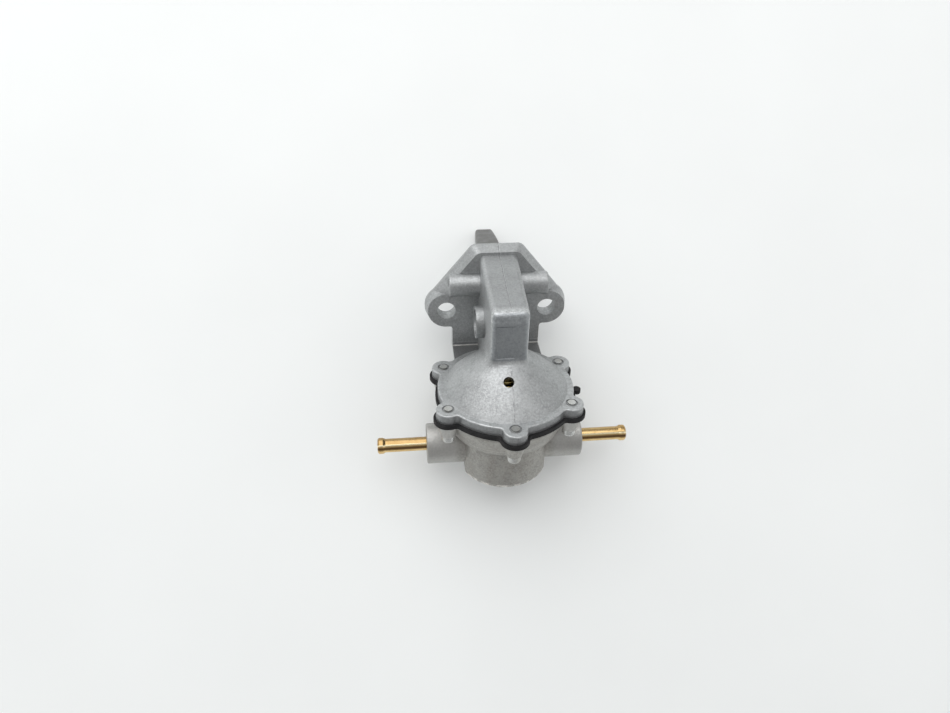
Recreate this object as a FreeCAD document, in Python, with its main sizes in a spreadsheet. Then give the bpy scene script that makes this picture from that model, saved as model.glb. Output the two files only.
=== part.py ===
import FreeCAD, Part
import math
import operator
import os
import types

import Sketcher

# Engine-driven diaphragm fuel pump, in millimetres.
# Every piece is drawn about the diaphragm axis: Z runs up that axis, Z = 0 is the clamping face of the
# rocker housing, +Y points at the engine and X runs along the hose nipples. Each finished piece is then
# moved so that the origin lies midway between the two mounting bolts, on the mounting face.

SIZES = [
    # where the pump sits against the engine
    ("reach", 43.3, "mounting face to diaphragm axis"),
    ("bolt_rise", 22.0, "clamping face up to the line of the mounting bolts"),
    ("bolt_spacing", 47.6, "between the two mounting bolts"),
    ("bolt_hole_radius", 4.35, "clearance hole for the mounting bolt"),
    ("fit_gap", 0.02, "radial clearance of a pressed or clamped fit"),
    ("run_gap", 0.05, "radial clearance of a running fit"),
    ("side_gap", 0.12, "side clearance of a lever or washer"),
    # clamped rim and its screws
    ("rim_radius", 30.4, "outside of the clamped rim"),
    ("rim_thick", 4.4, "thickness of the housing's rim"),
    ("rim_edge", 0.5, "rounding of the rim's top edge"),
    ("screw_circle", 31.0, "radius of the circle of body screws"),
    ("lobe_radius", 5.3, "outside radius of a screw lobe"),
    ("lobe_blend", 1.8, "blend between a lobe and the rim"),
    ("screw_radius", 1.75, "thread of a body screw"),
    ("screw_tip", 0.4, "how far a screw's tip stands above the rim"),
    ("tip_recess_radius", 2.6, "ring recess round a screw's tip"),
    ("tip_recess_depth", 0.35, "depth of that recess"),
    # dome over the spring chamber
    ("dome_root_radius", 29.68, "dome where it starts, level with the web and inside the rim"),
    ("dome_top_radius", 6.8, "dome radius where it ends under the tower"),
    ("dome_rise", 17.4, "height of the dome above the rim"),
    ("dome_bow", 108.0, "radius of the dome's slightly convex side"),
    ("chamber_radius", 25.4, "spring chamber at the clamping face"),
    ("chamber_step", 2.4, "height where the chamber starts to narrow"),
    ("chamber_top_radius", 10.9, "ceiling of the spring chamber"),
    ("chamber_top", 15.2, "height of that ceiling"),
    ("weep_radius", 2.35, "weep hole through the dome"),
    ("weep_rise", 15.8, "height of the weep hole's mouth"),
    ("weep_front", 14.0, "weep hole's mouth ahead of the axis"),
    ("weep_side", -1.0, "weep hole beside the middle plane"),
    ("weep_lean", 40.0, "lean of the weep hole from vertical, in degrees"),
    # rocker tower
    ("tower_front", 7.2, "front face of the tower ahead of the axis"),
    ("tower_half", 8.1, "half width of the tower at its front"),
    ("tower_half_back", 8.8, "half width of the tower at the flange"),
    ("tower_top", 45.4, "top of the tower at its front edge"),
    ("tower_top_back", 50.3, "top of the tower at the flange"),
    ("tower_corner", 2.6, "rounding of the tower's upright front corners"),
    ("tower_edge", 2.3, "rounding of the tower's top edges"),
    ("tower_fillet", 4.5, "fillet between the tower's sides and the dome"),
    ("tower_front_fillet", 1.5, "fillet between the tower's front and the dome"),
    ("cavity_half", 6.2, "half width of the lever cavity"),
    ("tower_wall", 2.7, "wall of the tower at its front and top"),
    ("cavity_floor", 18.6, "floor of the lever cavity over the diaphragm"),
    ("cavity_floor_end", 12.0, "where that floor starts to fall, behind the axis"),
    ("mouth_floor", 14.0, "floor of the cavity at the mounting face"),
    # blank boss for a hand primer
    ("primer_radius", 7.4, "blank primer boss"),
    ("primer_back", 20.6, "primer boss behind the axis"),
    ("primer_rise", 25.0, "height of the primer boss"),
    ("primer_end", 12.0, "face of the primer boss from the middle plane"),
    ("primer_ring", 1.5, "width of the ring on that face"),
    ("primer_recess", 0.9, "depth of the face inside the ring"),
    # mounting flange
    ("flange_thick", 7.0, "flange at the bolts"),
    ("flange_edge", 1.6, "upright edge of the flange at the mounting face"),
    ("flange_top", 51.6, "top of the flange's front outline"),
    ("flange_top_half", 9.5, "half width of that top"),
    ("flange_draft", 1.25, "how much larger the outline is at the back"),
    ("shoulder_draft", 1.9, "how much wider the shoulders are at the back"),
    ("shoulder_half", 22.6, "front outline beside the pin boss"),
    ("shoulder_rise", 35.4, "height of that corner"),
    ("shoulder_round", 4.0, "rounding of the flange's top corners"),
    ("ear_radius", 8.8, "front outline round a bolt hole"),
    ("neck_inset", 2.9, "sides of the neck inside the bolts' centre lines"),
    ("neck_blend", 1.6, "hollow between an ear and the neck"),
    ("deck_rise", 2.1, "top of the web between rim and flange"),
    # pin boss and pin
    ("pin_depth", 8.8, "rocker pin ahead of the mounting face"),
    ("pin_rise", 36.6, "height of the rocker pin"),
    ("pin_boss_radius", 5.2, "boss round the pin"),
    ("pin_boss_half", 23.0, "half length of the boss"),
    ("pin_boss_edge", 0.9, "rounding of the boss's ends"),
    ("ramp_start", 2.4, "start of the ramp inside the boss, from the boss's end"),
    ("ramp_radius", 4.9, "ramp from the boss to the ear, at the boss"),
    ("ramp_end_radius", 2.2, "the ramp at its outer end"),
    ("ramp_end_out", 6.6, "outer end of the ramp beyond the bolt's centre line"),
    ("ramp_end_drop", 9.8, "that end below the pin"),
    ("ramp_sink", 0.2, "that end's front ahead of the flange's front"),
    ("spot_radius", 9.0, "spot face round a bolt hole"),
    ("pin_radius", 3.0, "rocker pin"),
    ("pin_inset", 1.2, "pin's end below the boss's open end"),
    ("pin_far_wall", 2.2, "boss wall left past the pin's other end"),
    ("pin_end_round", 0.4, "rounding of the pin's ends"),
    ("pin_washer_radius", 5.4, "thrust washer"),
    ("pin_washer_thick", 0.5, "thrust washer's thickness"),
    # rocker arm
    ("arm_half", 5.4, "half width of the rocker arm"),
    ("arm_tip_half", 4.2, "half width of the arm's tip"),
    ("arm_reach", 42.3, "tip of the arm behind the mounting face"),
    ("arm_nose", 3.0, "rounded tip seen from the side"),
    ("arm_drop", 3.2, "fall of the arm's top towards its tip"),
    ("arm_crank", 1.3, "sideways crank of the arm beyond the flange"),
    ("arm_crank_run", 14.7, "end of that crank behind the mounting face"),
    ("arm_web", 2.2, "web over the fork"),
    ("arm_inner", 13.5, "inner end of the arm behind the axis"),
    ("arm_seat", 38.0, "spring seat on the arm"),
    ("arm_hub_top", 44.4, "top of the arm over the pin"),
    ("arm_hub_drop", 6.2, "arm below the pin's centre"),
    ("arm_fork_run", 12.0, "end of the slot for the link behind the pin"),
    ("arm_inner_drop", 3.6, "underside of the arm's inner end below the pin"),
    ("arm_hub_half", 5.5, "half length of the arm's hub along its underside"),
    ("arm_hub_rise", 1.1, "rise of that underside towards the inner end"),
    ("arm_belly_run", 17.5, "end of the arm's deep part behind the pin"),
    ("arm_belly_drop", 2.8, "underside of the arm at that end below the pin"),
    ("arm_waist_run", 19.0, "start of the arm's slim part ahead of its tip"),
    ("arm_shoulder_run", 5.0, "start of the step to the spring seat ahead of the pin"),
    ("arm_shoulder_drop", 1.5, "fall of the hub's top to that step"),
    ("arm_floor_run", 8.5, "end of the floor under the spring seat ahead of the pin"),
    ("arm_seat_run", 11.0, "foot of the step ahead of the pin"),
    ("arm_edge", 1.5, "rounding of the arm's long edges"),
    # link lever
    ("link_half", 2.7, "half width of the link"),
    ("link_hub_radius", 5.2, "hub of the link"),
    ("fork_half", 4.6, "half width of the link's fork"),
    ("fork_nose", 2.6, "rounded ends of the fork's tines"),
    ("fork_lift_gap", 0.12, "play between the fork and the rod's head"),
    ("fork_slot_half", 2.35, "half width of the fork's slot"),
    ("fork_slot_end", 3.6, "end of that slot behind the axis"),
    ("link_tail_run", 8.0, "end of the link's tail behind the pin"),
    ("link_tail_rise", 1.0, "underside of the tail above the pin"),
    ("link_knee_run", 10.5, "knee of the link ahead of the pin"),
    ("link_knee_drop", 9.0, "underside of the knee below the pin"),
    ("link_knee_top", 3.2, "top of the knee below the pin"),
    ("link_heel_run", 4.6, "start of the knee's slope ahead of the pin"),
    ("link_heel_rise", 2.0, "height of that start above the pin"),
    ("fork_root", 5.5, "straight part of the fork behind the axis"),
    ("fork_taper_start", 7.0, "start of the fork's taper behind the axis"),
    ("fork_taper_end", 10.0, "end of that taper"),
    ("link_play", 0.2, "play between the link's tail and the arm's web"),
    # rocker spring
    ("rocker_spring_back", 18.2, "rocker spring behind the axis"),
    ("rocker_spring_radius", 3.5, "mean radius of its coil"),
    ("rocker_spring_wire", 0.9, "its wire"),
    ("rocker_spring_top", 44.0, "its seat under the tower's ceiling"),
    ("rocker_spring_turns", 3.5, "its turns"),
    # diaphragm group
    ("diaphragm_thick", 2.0, "rubber-faced diaphragm"),
    ("diaphragm_proud", 1.1, "how far the diaphragm stands out of the joint"),
    ("tab_reach", 34.6, "end of the diaphragm's locating tab"),
    ("tab_half", 1.9, "half width of that tab"),
    ("upper_plate_radius", 18.0, "plate above the diaphragm"),
    ("lower_plate_radius", 17.0, "plate below the diaphragm"),
    ("plate_thick", 1.2, "thickness of both plates"),
    ("plate_lip", 1.4, "lip of each plate, above or below its face"),
    ("rod_radius", 2.0, "pull rod"),
    ("rod_collar_radius", 3.8, "collar on the upper plate"),
    ("rod_collar_thick", 1.2, "thickness of that collar"),
    ("rod_rivet_radius", 3.2, "riveted end below the lower plate"),
    ("rod_rivet_thick", 1.2, "height of the riveted end"),
    ("rod_head_radius", 3.8, "head that the fork lifts"),
    ("rod_head_rise", 27.12, "underside of that head"),
    ("rod_head_thick", 2.3, "thickness of the head"),
    ("spring_radius", 8.6, "mean radius of the diaphragm spring"),
    ("spring_wire", 1.5, "its wire"),
    ("spring_turns", 4.5, "its turns"),
    ("seal_radius", 5.6, "rubber rod seal"),
    ("retainer_thick", 0.8, "sheet of the seal retainer"),
    ("retainer_depth", 4.6, "depth of the retainer's cup"),
    ("retainer_flange_radius", 10.4, "spring seat round the cup"),
    # lower body
    ("body_rim_radius", 30.2, "lower body's rim"),
    ("body_rim_thick", 2.6, "thickness of that rim at its edge"),
    ("screw_boss_end", 9.3, "end of a screw boss below the clamping face"),
    ("screw_boss_radius", 3.4, "radius of a screw boss at its end"),
    ("flare_edge_radius", 29.6, "flare under the rim"),
    ("flare_radius", 25.3, "lower edge of the flare"),
    ("flare_drop", 15.0, "that edge below the clamping face"),
    ("flare_round", 1.2, "rounding of that edge"),
    ("flare_under", 3.9, "height of the flare's underside"),
    ("bowl_radius", 20.7, "bowl's round front and back"),
    ("bowl_side", 18.7, "flat sides of the bowl from the middle plane"),
    ("bowl_bottom", 39.7, "flat base below the clamping face"),
    ("bowl_upright_edge", 3.0, "rounding of the bowl's upright edges"),
    ("bowl_corner", 1.4, "rounding of the base's edge"),
    ("boss_radius", 9.4, "hose boss"),
    ("boss_half", 36.1, "face of a hose boss from the middle plane"),
    ("boss_edge", 0.8, "rounding of that face's edge"),
    ("port_drop", 27.9, "hose nipples below the clamping face"),
    ("pump_radius", 24.6, "pump chamber under the diaphragm"),
    ("pump_depth", 4.8, "depth of the pump chamber below the rim"),
    ("pump_floor_radius", 19.0, "flat floor of the pump chamber"),
    # valves
    ("well_offset", 10.2, "valve wells from the middle plane"),
    ("well_radius", 7.0, "valve well"),
    ("well_bottom", 15.6, "ledge of a well below the clamping face"),
    ("gallery_radius", 5.2, "passage under a well"),
    ("gallery_bottom", 31.0, "bottom of that passage"),
    ("gasket_thick", 0.6, "valve gasket"),
    ("cage_height", 7.6, "valve cage"),
    ("cage_wall", 0.8, "side of the cage"),
    ("seat_thick", 1.5, "seat plate of the cage"),
    ("bridge_thick", 1.0, "plate that holds the valve spring"),
    ("seat_port_radius", 1.0, "holes in the seat plate"),
    ("seat_port_circle", 3.1, "circle of those holes"),
    ("bridge_port_radius", 1.5, "holes in the spring plate"),
    ("bridge_port_circle", 4.1, "circle of those holes"),
    ("stem_radius", 0.8, "guide stem of the valve disc"),
    ("disc_radius", 4.9, "valve disc"),
    ("disc_thick", 1.0, "its thickness"),
    ("valve_spring_radius", 1.9, "mean radius of the valve spring"),
    ("valve_spring_wire", 0.35, "its wire"),
    ("valve_spring_turns", 3.5, "its turns"),
    # screws and washers
    ("washer_thick", 0.8, "washer under a screw's head"),
    ("washer_radius", 3.1, "outside of that washer"),
    ("head_radius", 2.9, "screw head"),
    ("head_height", 2.6, "its height"),
    ("head_edge", 0.8, "rounding of the head's top edge"),
    ("head_slot_half", 0.45, "half width of the head's slot"),
    ("head_slot_depth", 1.1, "depth of that slot"),
    # hose nipples
    ("nipple_radius", 3.175, "tube of a hose nipple"),
    ("nipple_bore", 2.15, "its bore"),
    ("nipple_tip", 58.8, "tip of a nipple from the middle plane"),
    ("nipple_seat", 14.0, "length pressed into the boss"),
    ("bead_radius", 3.75, "bead near the tip"),
    ("bead_land", 1.4, "cylindrical part of the bead"),
    ("bead_slope", 1.2, "length of the bead's sloping side"),
    ("tip_round", 1.1, "rounded end of the nipple"),
]

LOBE_ANGLES = [-90 + 60 * step for step in range(6)]
SEAT_PORTS = 6
BRIDGE_PORTS = 4
FACES = [-1, 1]
CASTING_LAP = 1.0


class Dim:
    """A size that knows its number and the sheet expression that gives it."""

    def __init__(self, number, text):
        self.number = number
        self.text = text

    def __add__(self, other):
        return joined(self, "+", other)

    def __radd__(self, other):
        return joined(other, "+", self)

    def __sub__(self, other):
        return joined(self, "-", other)

    def __rsub__(self, other):
        return joined(other, "-", self)

    def __mul__(self, other):
        return joined(self, "*", other)

    def __rmul__(self, other):
        return joined(other, "*", self)

    def __truediv__(self, other):
        return joined(self, "/", other)

    def __neg__(self):
        return joined(0, "-", self)


SIGNS = {"+": operator.add, "-": operator.sub, "*": operator.mul, "/": operator.truediv}


def as_dim(size):
    """A plain number becomes a Dim too."""
    return size if isinstance(size, Dim) else Dim(float(size), repr(float(size)))


def joined(left, sign, right):
    a = as_dim(left)
    b = as_dim(right)
    return Dim(SIGNS[sign](a.number, b.number), f"({a.text} {sign} {b.text})")


doc = FreeCAD.newDocument("FuelPump")
V = FreeCAD.Vector


def size_sheet():
    """The driving dimensions, one cell each, and a name for each of them."""
    sheet = doc.addObject("Spreadsheet::Sheet", "Sizes")
    names = {}
    for row, (alias, number, note) in enumerate(SIZES, start=1):
        sheet.set(f"A{row}", note)
        sheet.set(f"B{row}", str(number))
        sheet.setAlias(f"B{row}", alias)
        names[alias] = Dim(number, f"Sizes.{alias}")
    return types.SimpleNamespace(**names)


S = size_sheet()
doc.recompute()


# Helpers that bind every size to the sheet

def bind(thing, **sizes):
    """Binds properties to sizes; Base_x stands for Placement.Base.x."""
    for name, size in sizes.items():
        path = name.replace("Base_", "Placement.Base.")
        thing.setExpression(path, as_dim(size).text)
    return thing


PLANES = {
    "top": FreeCAD.Rotation(),
    "front": FreeCAD.Rotation(V(1, 0, 0), 90),
    "side": FreeCAD.Rotation(V(1, 1, 1), 120),
}
LEVEL_AXIS = {"top": "z", "front": "y", "side": "x"}
ALONG = {
    "z": FreeCAD.Rotation(),
    "x": FreeCAD.Rotation(V(0, 1, 0), 90),
    "y": FreeCAD.Rotation(V(1, 0, 0), -90),
}


def new_sketch(name, plane, level=0):
    """A sketch on the plane: top is XY, front is XZ, side is YZ."""
    sketch = doc.addObject("Sketcher::SketchObject", name)
    sketch.Placement = FreeCAD.Placement(V(), PLANES[plane])
    return bind(sketch, **{"Base_" + LEVEL_AXIS[plane]: level})


def pin_point(sketch, part, end, x, y):
    """Holds one point of the sketch at bound coordinates."""
    for kind, size, axis in (("DistanceX", x, -2), ("DistanceY", y, -1)):
        if not isinstance(size, Dim) and size == 0:
            sketch.addConstraint(Sketcher.Constraint("PointOnObject", part, end, axis))
            continue
        size = as_dim(size)
        number = sketch.addConstraint(Sketcher.Constraint(kind, -1, 1, part, end, size.number))
        sketch.setExpression(f"Constraints[{number}]", size.text)


def bound_radius(sketch, part, radius):
    number = sketch.addConstraint(Sketcher.Constraint("Radius", part, abs(radius.number)))
    text = radius.text if radius.number > 0 else (-radius).text
    sketch.setExpression(f"Constraints[{number}]", text)


def bow(start, finish, radius):
    """The short arc between two points; a positive radius turns left. Also says if the arc runs backwards."""
    if radius < 0:
        return bow(finish, start, -radius)[0], True
    chord = finish - start
    left = V(-chord.y, chord.x, 0).normalize()
    centre = (start + finish) * 0.5 + left * math.sqrt(radius ** 2 - chord.Length ** 2 / 4)
    first = math.atan2(start.y - centre.y, start.x - centre.x)
    last = math.atan2(finish.y - centre.y, finish.x - centre.x)
    return Part.ArcOfCircle(Part.Circle(centre, V(0, 0, 1), radius), first, last), False


def outline(sketch, corners, bows=None):
    """A closed chain through bound corners; bows gives the edge after a corner an arc's radius."""
    bows = bows or {}
    base = sketch.GeometryCount
    count = len(corners)
    points = [V(as_dim(x).number, as_dim(y).number, 0) for x, y in corners]
    ends = []
    for step in range(count):
        start = points[step]
        finish = points[(step + 1) % count]
        if step in bows:
            arc, backwards = bow(start, finish, as_dim(bows[step]).number)
            sketch.addGeometry(arc)
            ends.append((2, 1) if backwards else (1, 2))
        else:
            sketch.addGeometry(Part.LineSegment(start, finish))
            ends.append((1, 2))
    for step in range(count):
        after = (step + 1) % count
        meet = (base + step, ends[step][1], base + after, ends[after][0])
        sketch.addConstraint(Sketcher.Constraint("Coincident", *meet))
    for step, (x, y) in enumerate(corners):
        pin_point(sketch, base + step, ends[step][0], x, y)
    for step, radius in bows.items():
        bound_radius(sketch, base + step, as_dim(radius))
    return sketch


def mirrored(half):
    """A chain of corners on the right, followed by its mirror image on the left."""
    return half + [(-x, y) for x, y in reversed(half)]


def extrude(name, sketch, length, back=False, middle=False):
    solid = doc.addObject("Part::Extrusion", name)
    solid.Base = sketch
    solid.DirMode = "Normal"
    solid.Solid = True
    solid.Reversed = back
    solid.Symmetric = middle
    return bind(solid, LengthFwd=length)


def revolve(name, sketch, axis=V(0, 0, 1), lift=0):
    """A full turn about an axis that passes the Z axis at the given height."""
    solid = doc.addObject("Part::Revolution", name)
    solid.Source = sketch
    solid.Axis = axis
    solid.Angle = 360
    solid.Solid = True
    solid.setExpression("Base.z", as_dim(lift).text)
    return solid


def primitive(kind, name, at, along):
    solid = doc.addObject(kind, name)
    solid.Placement = FreeCAD.Placement(V(), ALONG[along])
    return bind(solid, Base_x=at[0], Base_y=at[1], Base_z=at[2])


def cylinder(name, radius, height, at=(0, 0, 0), along="z"):
    solid = primitive("Part::Cylinder", name, at, along)
    return bind(solid, Radius=radius, Height=height)


def cone(name, low_radius, high_radius, height, at=(0, 0, 0), along="z"):
    solid = primitive("Part::Cone", name, at, along)
    return bind(solid, Radius1=low_radius, Radius2=high_radius, Height=height)


def box(name, low, high):
    solid = primitive("Part::Box", name, low, "z")
    return bind(solid, Length=high[0] - low[0], Width=high[1] - low[1], Height=high[2] - low[2])


def fuse(name, *shapes):
    solid = doc.addObject("Part::MultiFuse", name)
    solid.Shapes = list(shapes)
    solid.Refine = True
    return solid


def common(name, *shapes):
    solid = doc.addObject("Part::MultiCommon", name)
    solid.Shapes = list(shapes)
    return solid


def cut(name, base, *tools):
    solid = doc.addObject("Part::Cut", name)
    solid.Base = base
    solid.Tool = tools[0] if len(tools) == 1 else fuse(name + "_tools", *tools)
    return solid


def rounded(name, base, radius, picked):
    """Rounds the edges of base for which picked says yes."""
    doc.recompute()
    chosen = [i + 1 for i, edge in enumerate(base.Shape.Edges) if picked(edge)]
    if not chosen:
        raise RuntimeError(f"{name}: no edge to round")
    solid = doc.addObject("Part::Fillet", name)
    solid.Base = base
    size = as_dim(radius).number
    solid.Edges = [(i, size, size) for i in chosen]
    return solid


def around(radius, degrees):
    """Bound X and Y of a point on a circle about the diaphragm axis."""
    turn = math.radians(degrees)
    return radius * math.cos(turn), radius * math.sin(turn)


def is_upright(edge):
    ends = [point.Point for point in edge.Vertexes]
    return len(ends) == 2 and (ends[0] - ends[1]).normalize().isEqual(V(0, 0, 1), 1e-4) or (
        len(ends) == 2 and (ends[1] - ends[0]).normalize().isEqual(V(0, 0, 1), 1e-4))


def plan_distance(edge):
    """How far the middle of an edge lies from the diaphragm axis, seen from above."""
    middle = edge.valueAt((edge.FirstParameter + edge.LastParameter) / 2)
    return math.hypot(middle.x, middle.y)


def helix_spring(name, radius, wire, turns, low, high, at=(0, 0)):
    """A round-wire coil whose wire just reaches from low to high."""
    path = doc.addObject("Part::Helix", name + "_path")
    length = high - low - wire
    bind(path, Radius=radius, Height=length, Pitch=length / turns)
    bind(path, Base_x=at[0], Base_y=at[1], Base_z=low + wire / 2)
    section = doc.addObject("Part::Circle", name + "_wire")
    section.Placement = FreeCAD.Placement(V(), PLANES["front"])
    bind(section, Radius=wire / 2, Base_x=at[0] + radius, Base_y=at[1], Base_z=low + wire / 2)
    doc.recompute()
    coil = doc.addObject("Part::Sweep", name)
    coil.Sections = [section]
    coil.Spine = (path, [f"Edge{i + 1}" for i in range(len(path.Shape.Edges))])
    coil.Solid = True
    coil.Frenet = True
    return coil


NODES = {}


def finish(label, solid):
    """Names a finished piece and moves it into the frame of the mounting bolts."""
    solid.Label = label
    bind(solid, Base_y=-S.reach, Base_z=-S.bolt_rise)
    NODES[label] = solid


# Rocker housing

DOME_TOP = S.rim_thick + S.dome_rise
FLANGE_FRONT = S.reach - S.flange_thick
TOWER_BACK = FLANGE_FRONT + CASTING_LAP
NECK_HALF = S.bolt_spacing / 2 - S.neck_inset
PIN_BACK = S.reach - S.pin_depth
ARM_TIP = S.reach + S.arm_reach
ARM_CRANK_END = S.reach + S.arm_crank_run
ARM_FORK_END = PIN_BACK + S.arm_fork_run
LINK_TAIL = PIN_BACK + S.link_tail_run


def dome():
    """The bowed cone, carried down inside the rim as far as the web's top."""
    corners = [
        (0, S.deck_rise),
        (S.dome_root_radius, S.deck_rise),
        (S.dome_top_radius, DOME_TOP),
        (0, DOME_TOP),
    ]
    return revolve("dome", outline(new_sketch("dome_profile", "side"), corners, {1: S.dome_bow}))


def lobed_rim(name, thick, level, grow=0):
    """A round rim with its screw lobes and the blends between them."""
    disc = cylinder(name + "_disc", S.rim_radius + grow, thick, (0, 0, level))
    lobes = []
    for number, degrees in enumerate(LOBE_ANGLES, start=1):
        x, y = around(S.screw_circle, degrees)
        lobes.append(cylinder(f"{name}_lobe_{number}", S.lobe_radius + grow, thick, (x, y, level)))
    rim = fuse(name + "_sharp", disc, *lobes)
    edge = (S.rim_radius + as_dim(grow)).number
    return rounded(name, rim, S.lobe_blend, lambda e: is_upright(e) and abs(plan_distance(e) - edge) < 0.5)


def tower_outline(sketch):
    """Plan of the tower with rounded front corners."""
    round_end = S.tower_corner - S.tower_front
    corners = [
        (S.tower_half_back, TOWER_BACK),
        (-S.tower_half_back, TOWER_BACK),
        (-S.tower_half, round_end),
        (S.tower_corner - S.tower_half, -S.tower_front),
        (S.tower_half - S.tower_corner, -S.tower_front),
        (S.tower_half, round_end),
    ]
    return outline(sketch, corners, {2: S.tower_corner, 4: S.tower_corner})


def tower_side(name, inset, floor):
    """Side view of the tower; inset moves its front and top inwards."""
    corners = [
        (-S.tower_front + inset, floor),
        (TOWER_BACK, floor),
        (TOWER_BACK, S.tower_top_back - inset),
        (-S.tower_front + inset, S.tower_top - inset),
    ]
    return outline(new_sketch(name, "side"), corners)


def is_tower_top(edge):
    """An edge of the tower's sloping top, apart from the one inside the flange."""
    low = S.tower_top.number - 0.5
    box_of = edge.BoundBox
    return box_of.ZMin > low and box_of.YMin < S.tower_front.number * 4


def tower():
    plan = tower_outline(new_sketch("tower_plan", "top", S.deck_rise))
    column = extrude("tower_column", plan, S.tower_top_back)
    profile = tower_side("tower_profile", 0, S.deck_rise)
    view = extrude("tower_view", profile, S.tower_half_back * 4, middle=True)
    return rounded("tower", common("tower_block", column, view), S.tower_edge, is_tower_top)


def dome_and_tower():
    """The tower's foot runs into the dome with wide fillets at its sides and a tight one in front."""
    base = fuse("dome_tower_sharp", dome(), tower())
    doc.recompute()
    wide = S.tower_fillet.number
    tight = S.tower_front_fillet.number
    front = 0.3 - S.tower_front.number
    edges = []
    for number, edge in enumerate(base.Shape.Edges, start=1):
        box_of = edge.BoundBox
        if edge.Curve.TypeId != "Part::GeomBSplineCurve" or box_of.ZMax > DOME_TOP.number + 1.0:
            continue
        first = edge.valueAt(edge.FirstParameter)
        last = edge.valueAt(edge.LastParameter)
        if box_of.YMax < front:
            edges.append((number, tight, tight))
        elif box_of.YMax > 0:
            edges.append((number, wide, wide))
        elif first.y < last.y:
            edges.append((number, wide, tight))
        else:
            edges.append((number, tight, wide))
    if len(edges) < 5:
        raise RuntimeError("dome_tower: the tower's foot was not found")
    solid = doc.addObject("Part::Fillet", "dome_tower")
    solid.Base = base
    solid.Edges = edges
    return solid


def flange_outline(sketch, grow, spread, ear_top_degrees):
    """The flange seen from the front: flat top, sloping shoulders, two ears and the neck."""
    tangent = S.shoulder_round * 0.47
    ear_x = S.bolt_spacing / 2
    ear = S.ear_radius + grow
    top = S.flange_top + grow
    half = S.flange_top_half + spread
    turn = math.radians(ear_top_degrees)
    half_outline = [
        (half - tangent, top),
        (half + tangent * 0.63, top - tangent * 0.77),
        (S.shoulder_half + spread, S.shoulder_rise + grow),
        (ear_x + ear * math.cos(turn), S.bolt_rise + ear * math.sin(turn)),
        (ear_x + ear, S.bolt_rise),
        (ear_x, S.bolt_rise - ear),
        (NECK_HALF + S.neck_blend, S.bolt_rise - ear),
        (NECK_HALF, S.bolt_rise - ear - S.neck_blend),
        (NECK_HALF, 0),
    ]
    last = len(half_outline) * 2 - 1
    bows = {0: -S.shoulder_round, 3: -ear, 4: -ear, 6: S.neck_blend}
    bows.update({last - 1 - step: radius for step, radius in bows.items()})
    return outline(sketch, mirrored(half_outline), bows)


def flange_front():
    return flange_outline(new_sketch("flange_front", "front", FLANGE_FRONT), 0, 0, 96)


def flange(front):
    middle = new_sketch("flange_middle", "front", S.reach - S.flange_edge)
    flange_outline(middle, S.flange_draft, S.shoulder_draft, 54)
    bevel = doc.addObject("Part::Loft", "flange_bevel")
    bevel.Sections = [front, middle]
    bevel.Solid = True
    bevel.Ruled = True
    back = new_sketch("flange_back", "front", S.reach)
    flange_outline(back, S.flange_draft, S.shoulder_draft, 54)
    plate = extrude("flange_plate", back, S.flange_edge)
    return fuse("flange", bevel, plate)


def deck():
    """The thin web between the rim and the flange."""
    low = (-NECK_HALF, S.rim_radius / 2, 0)
    return box("deck", low, (NECK_HALF, FLANGE_FRONT + CASTING_LAP, S.deck_rise))


def ramp(side):
    """The sloping shoulder that leads from the end of the pin boss down to an ear."""
    x = (S.pin_boss_half - S.ramp_start) * side
    end_x = (S.bolt_spacing / 2 + S.ramp_end_out) * side
    end_y = FLANGE_FRONT + S.ramp_end_radius - S.ramp_sink
    start = V(x.number, PIN_BACK.number, S.pin_rise.number)
    end = V(end_x.number, end_y.number, (S.pin_rise - S.ramp_end_drop).number)
    solid = doc.addObject("Part::Cone", "ramp")
    solid.Placement = FreeCAD.Placement(V(), FreeCAD.Rotation(V(0, 0, 1), end - start))
    bind(solid, Radius1=S.ramp_radius, Radius2=S.ramp_end_radius, Height=as_dim((end - start).Length))
    return bind(solid, Base_x=x, Base_y=PIN_BACK, Base_z=S.pin_rise)


def ramps(front):
    """Both ramps, held inside the flange's front outline and cut back by the spot faces of the ears."""
    cutters = []
    for side in FACES:
        at = (S.bolt_spacing / 2 * side, FLANGE_FRONT - S.flange_thick * 2, S.bolt_rise)
        cutters.append(cylinder("spot_face", S.spot_radius, S.flange_thick * 2, at, "y"))
    within = extrude("ramp_outline", front, S.flange_thick * 2)
    pair = fuse("ramp_pair", ramp(-1), ramp(1))
    return cut("ramps", common("ramps_trimmed", pair, within), *cutters)


def housing_solid():
    front = flange_front()
    pin_boss = cylinder("pin_boss_bar", S.pin_boss_radius, S.pin_boss_half * 2,
                        (-S.pin_boss_half, PIN_BACK, S.pin_rise), "x")
    pin_boss = rounded("pin_boss", pin_boss, S.pin_boss_edge, lambda e: e.BoundBox.XLength < 0.01)
    primer = cylinder("primer_boss", S.primer_radius, S.primer_end,
                      (-S.primer_end, S.primer_back, S.primer_rise), "x")
    rim = rounded("rim_rounded", lobed_rim("rim", S.rim_thick, 0), S.rim_edge,
                  lambda edge: edge.BoundBox.ZMin > S.rim_thick.number - 0.01)
    return fuse("housing_solid", dome_and_tower(), rim, flange(front), deck(), pin_boss, ramps(front), primer)


def spring_chamber():
    lap = S.rim_thick
    corners = [
        (0, -lap),
        (S.chamber_radius, -lap),
        (S.chamber_radius, S.chamber_step),
        (S.chamber_top_radius, S.chamber_top),
        (0, S.chamber_top),
    ]
    return revolve("spring_chamber", outline(new_sketch("chamber_profile", "front"), corners))


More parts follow.
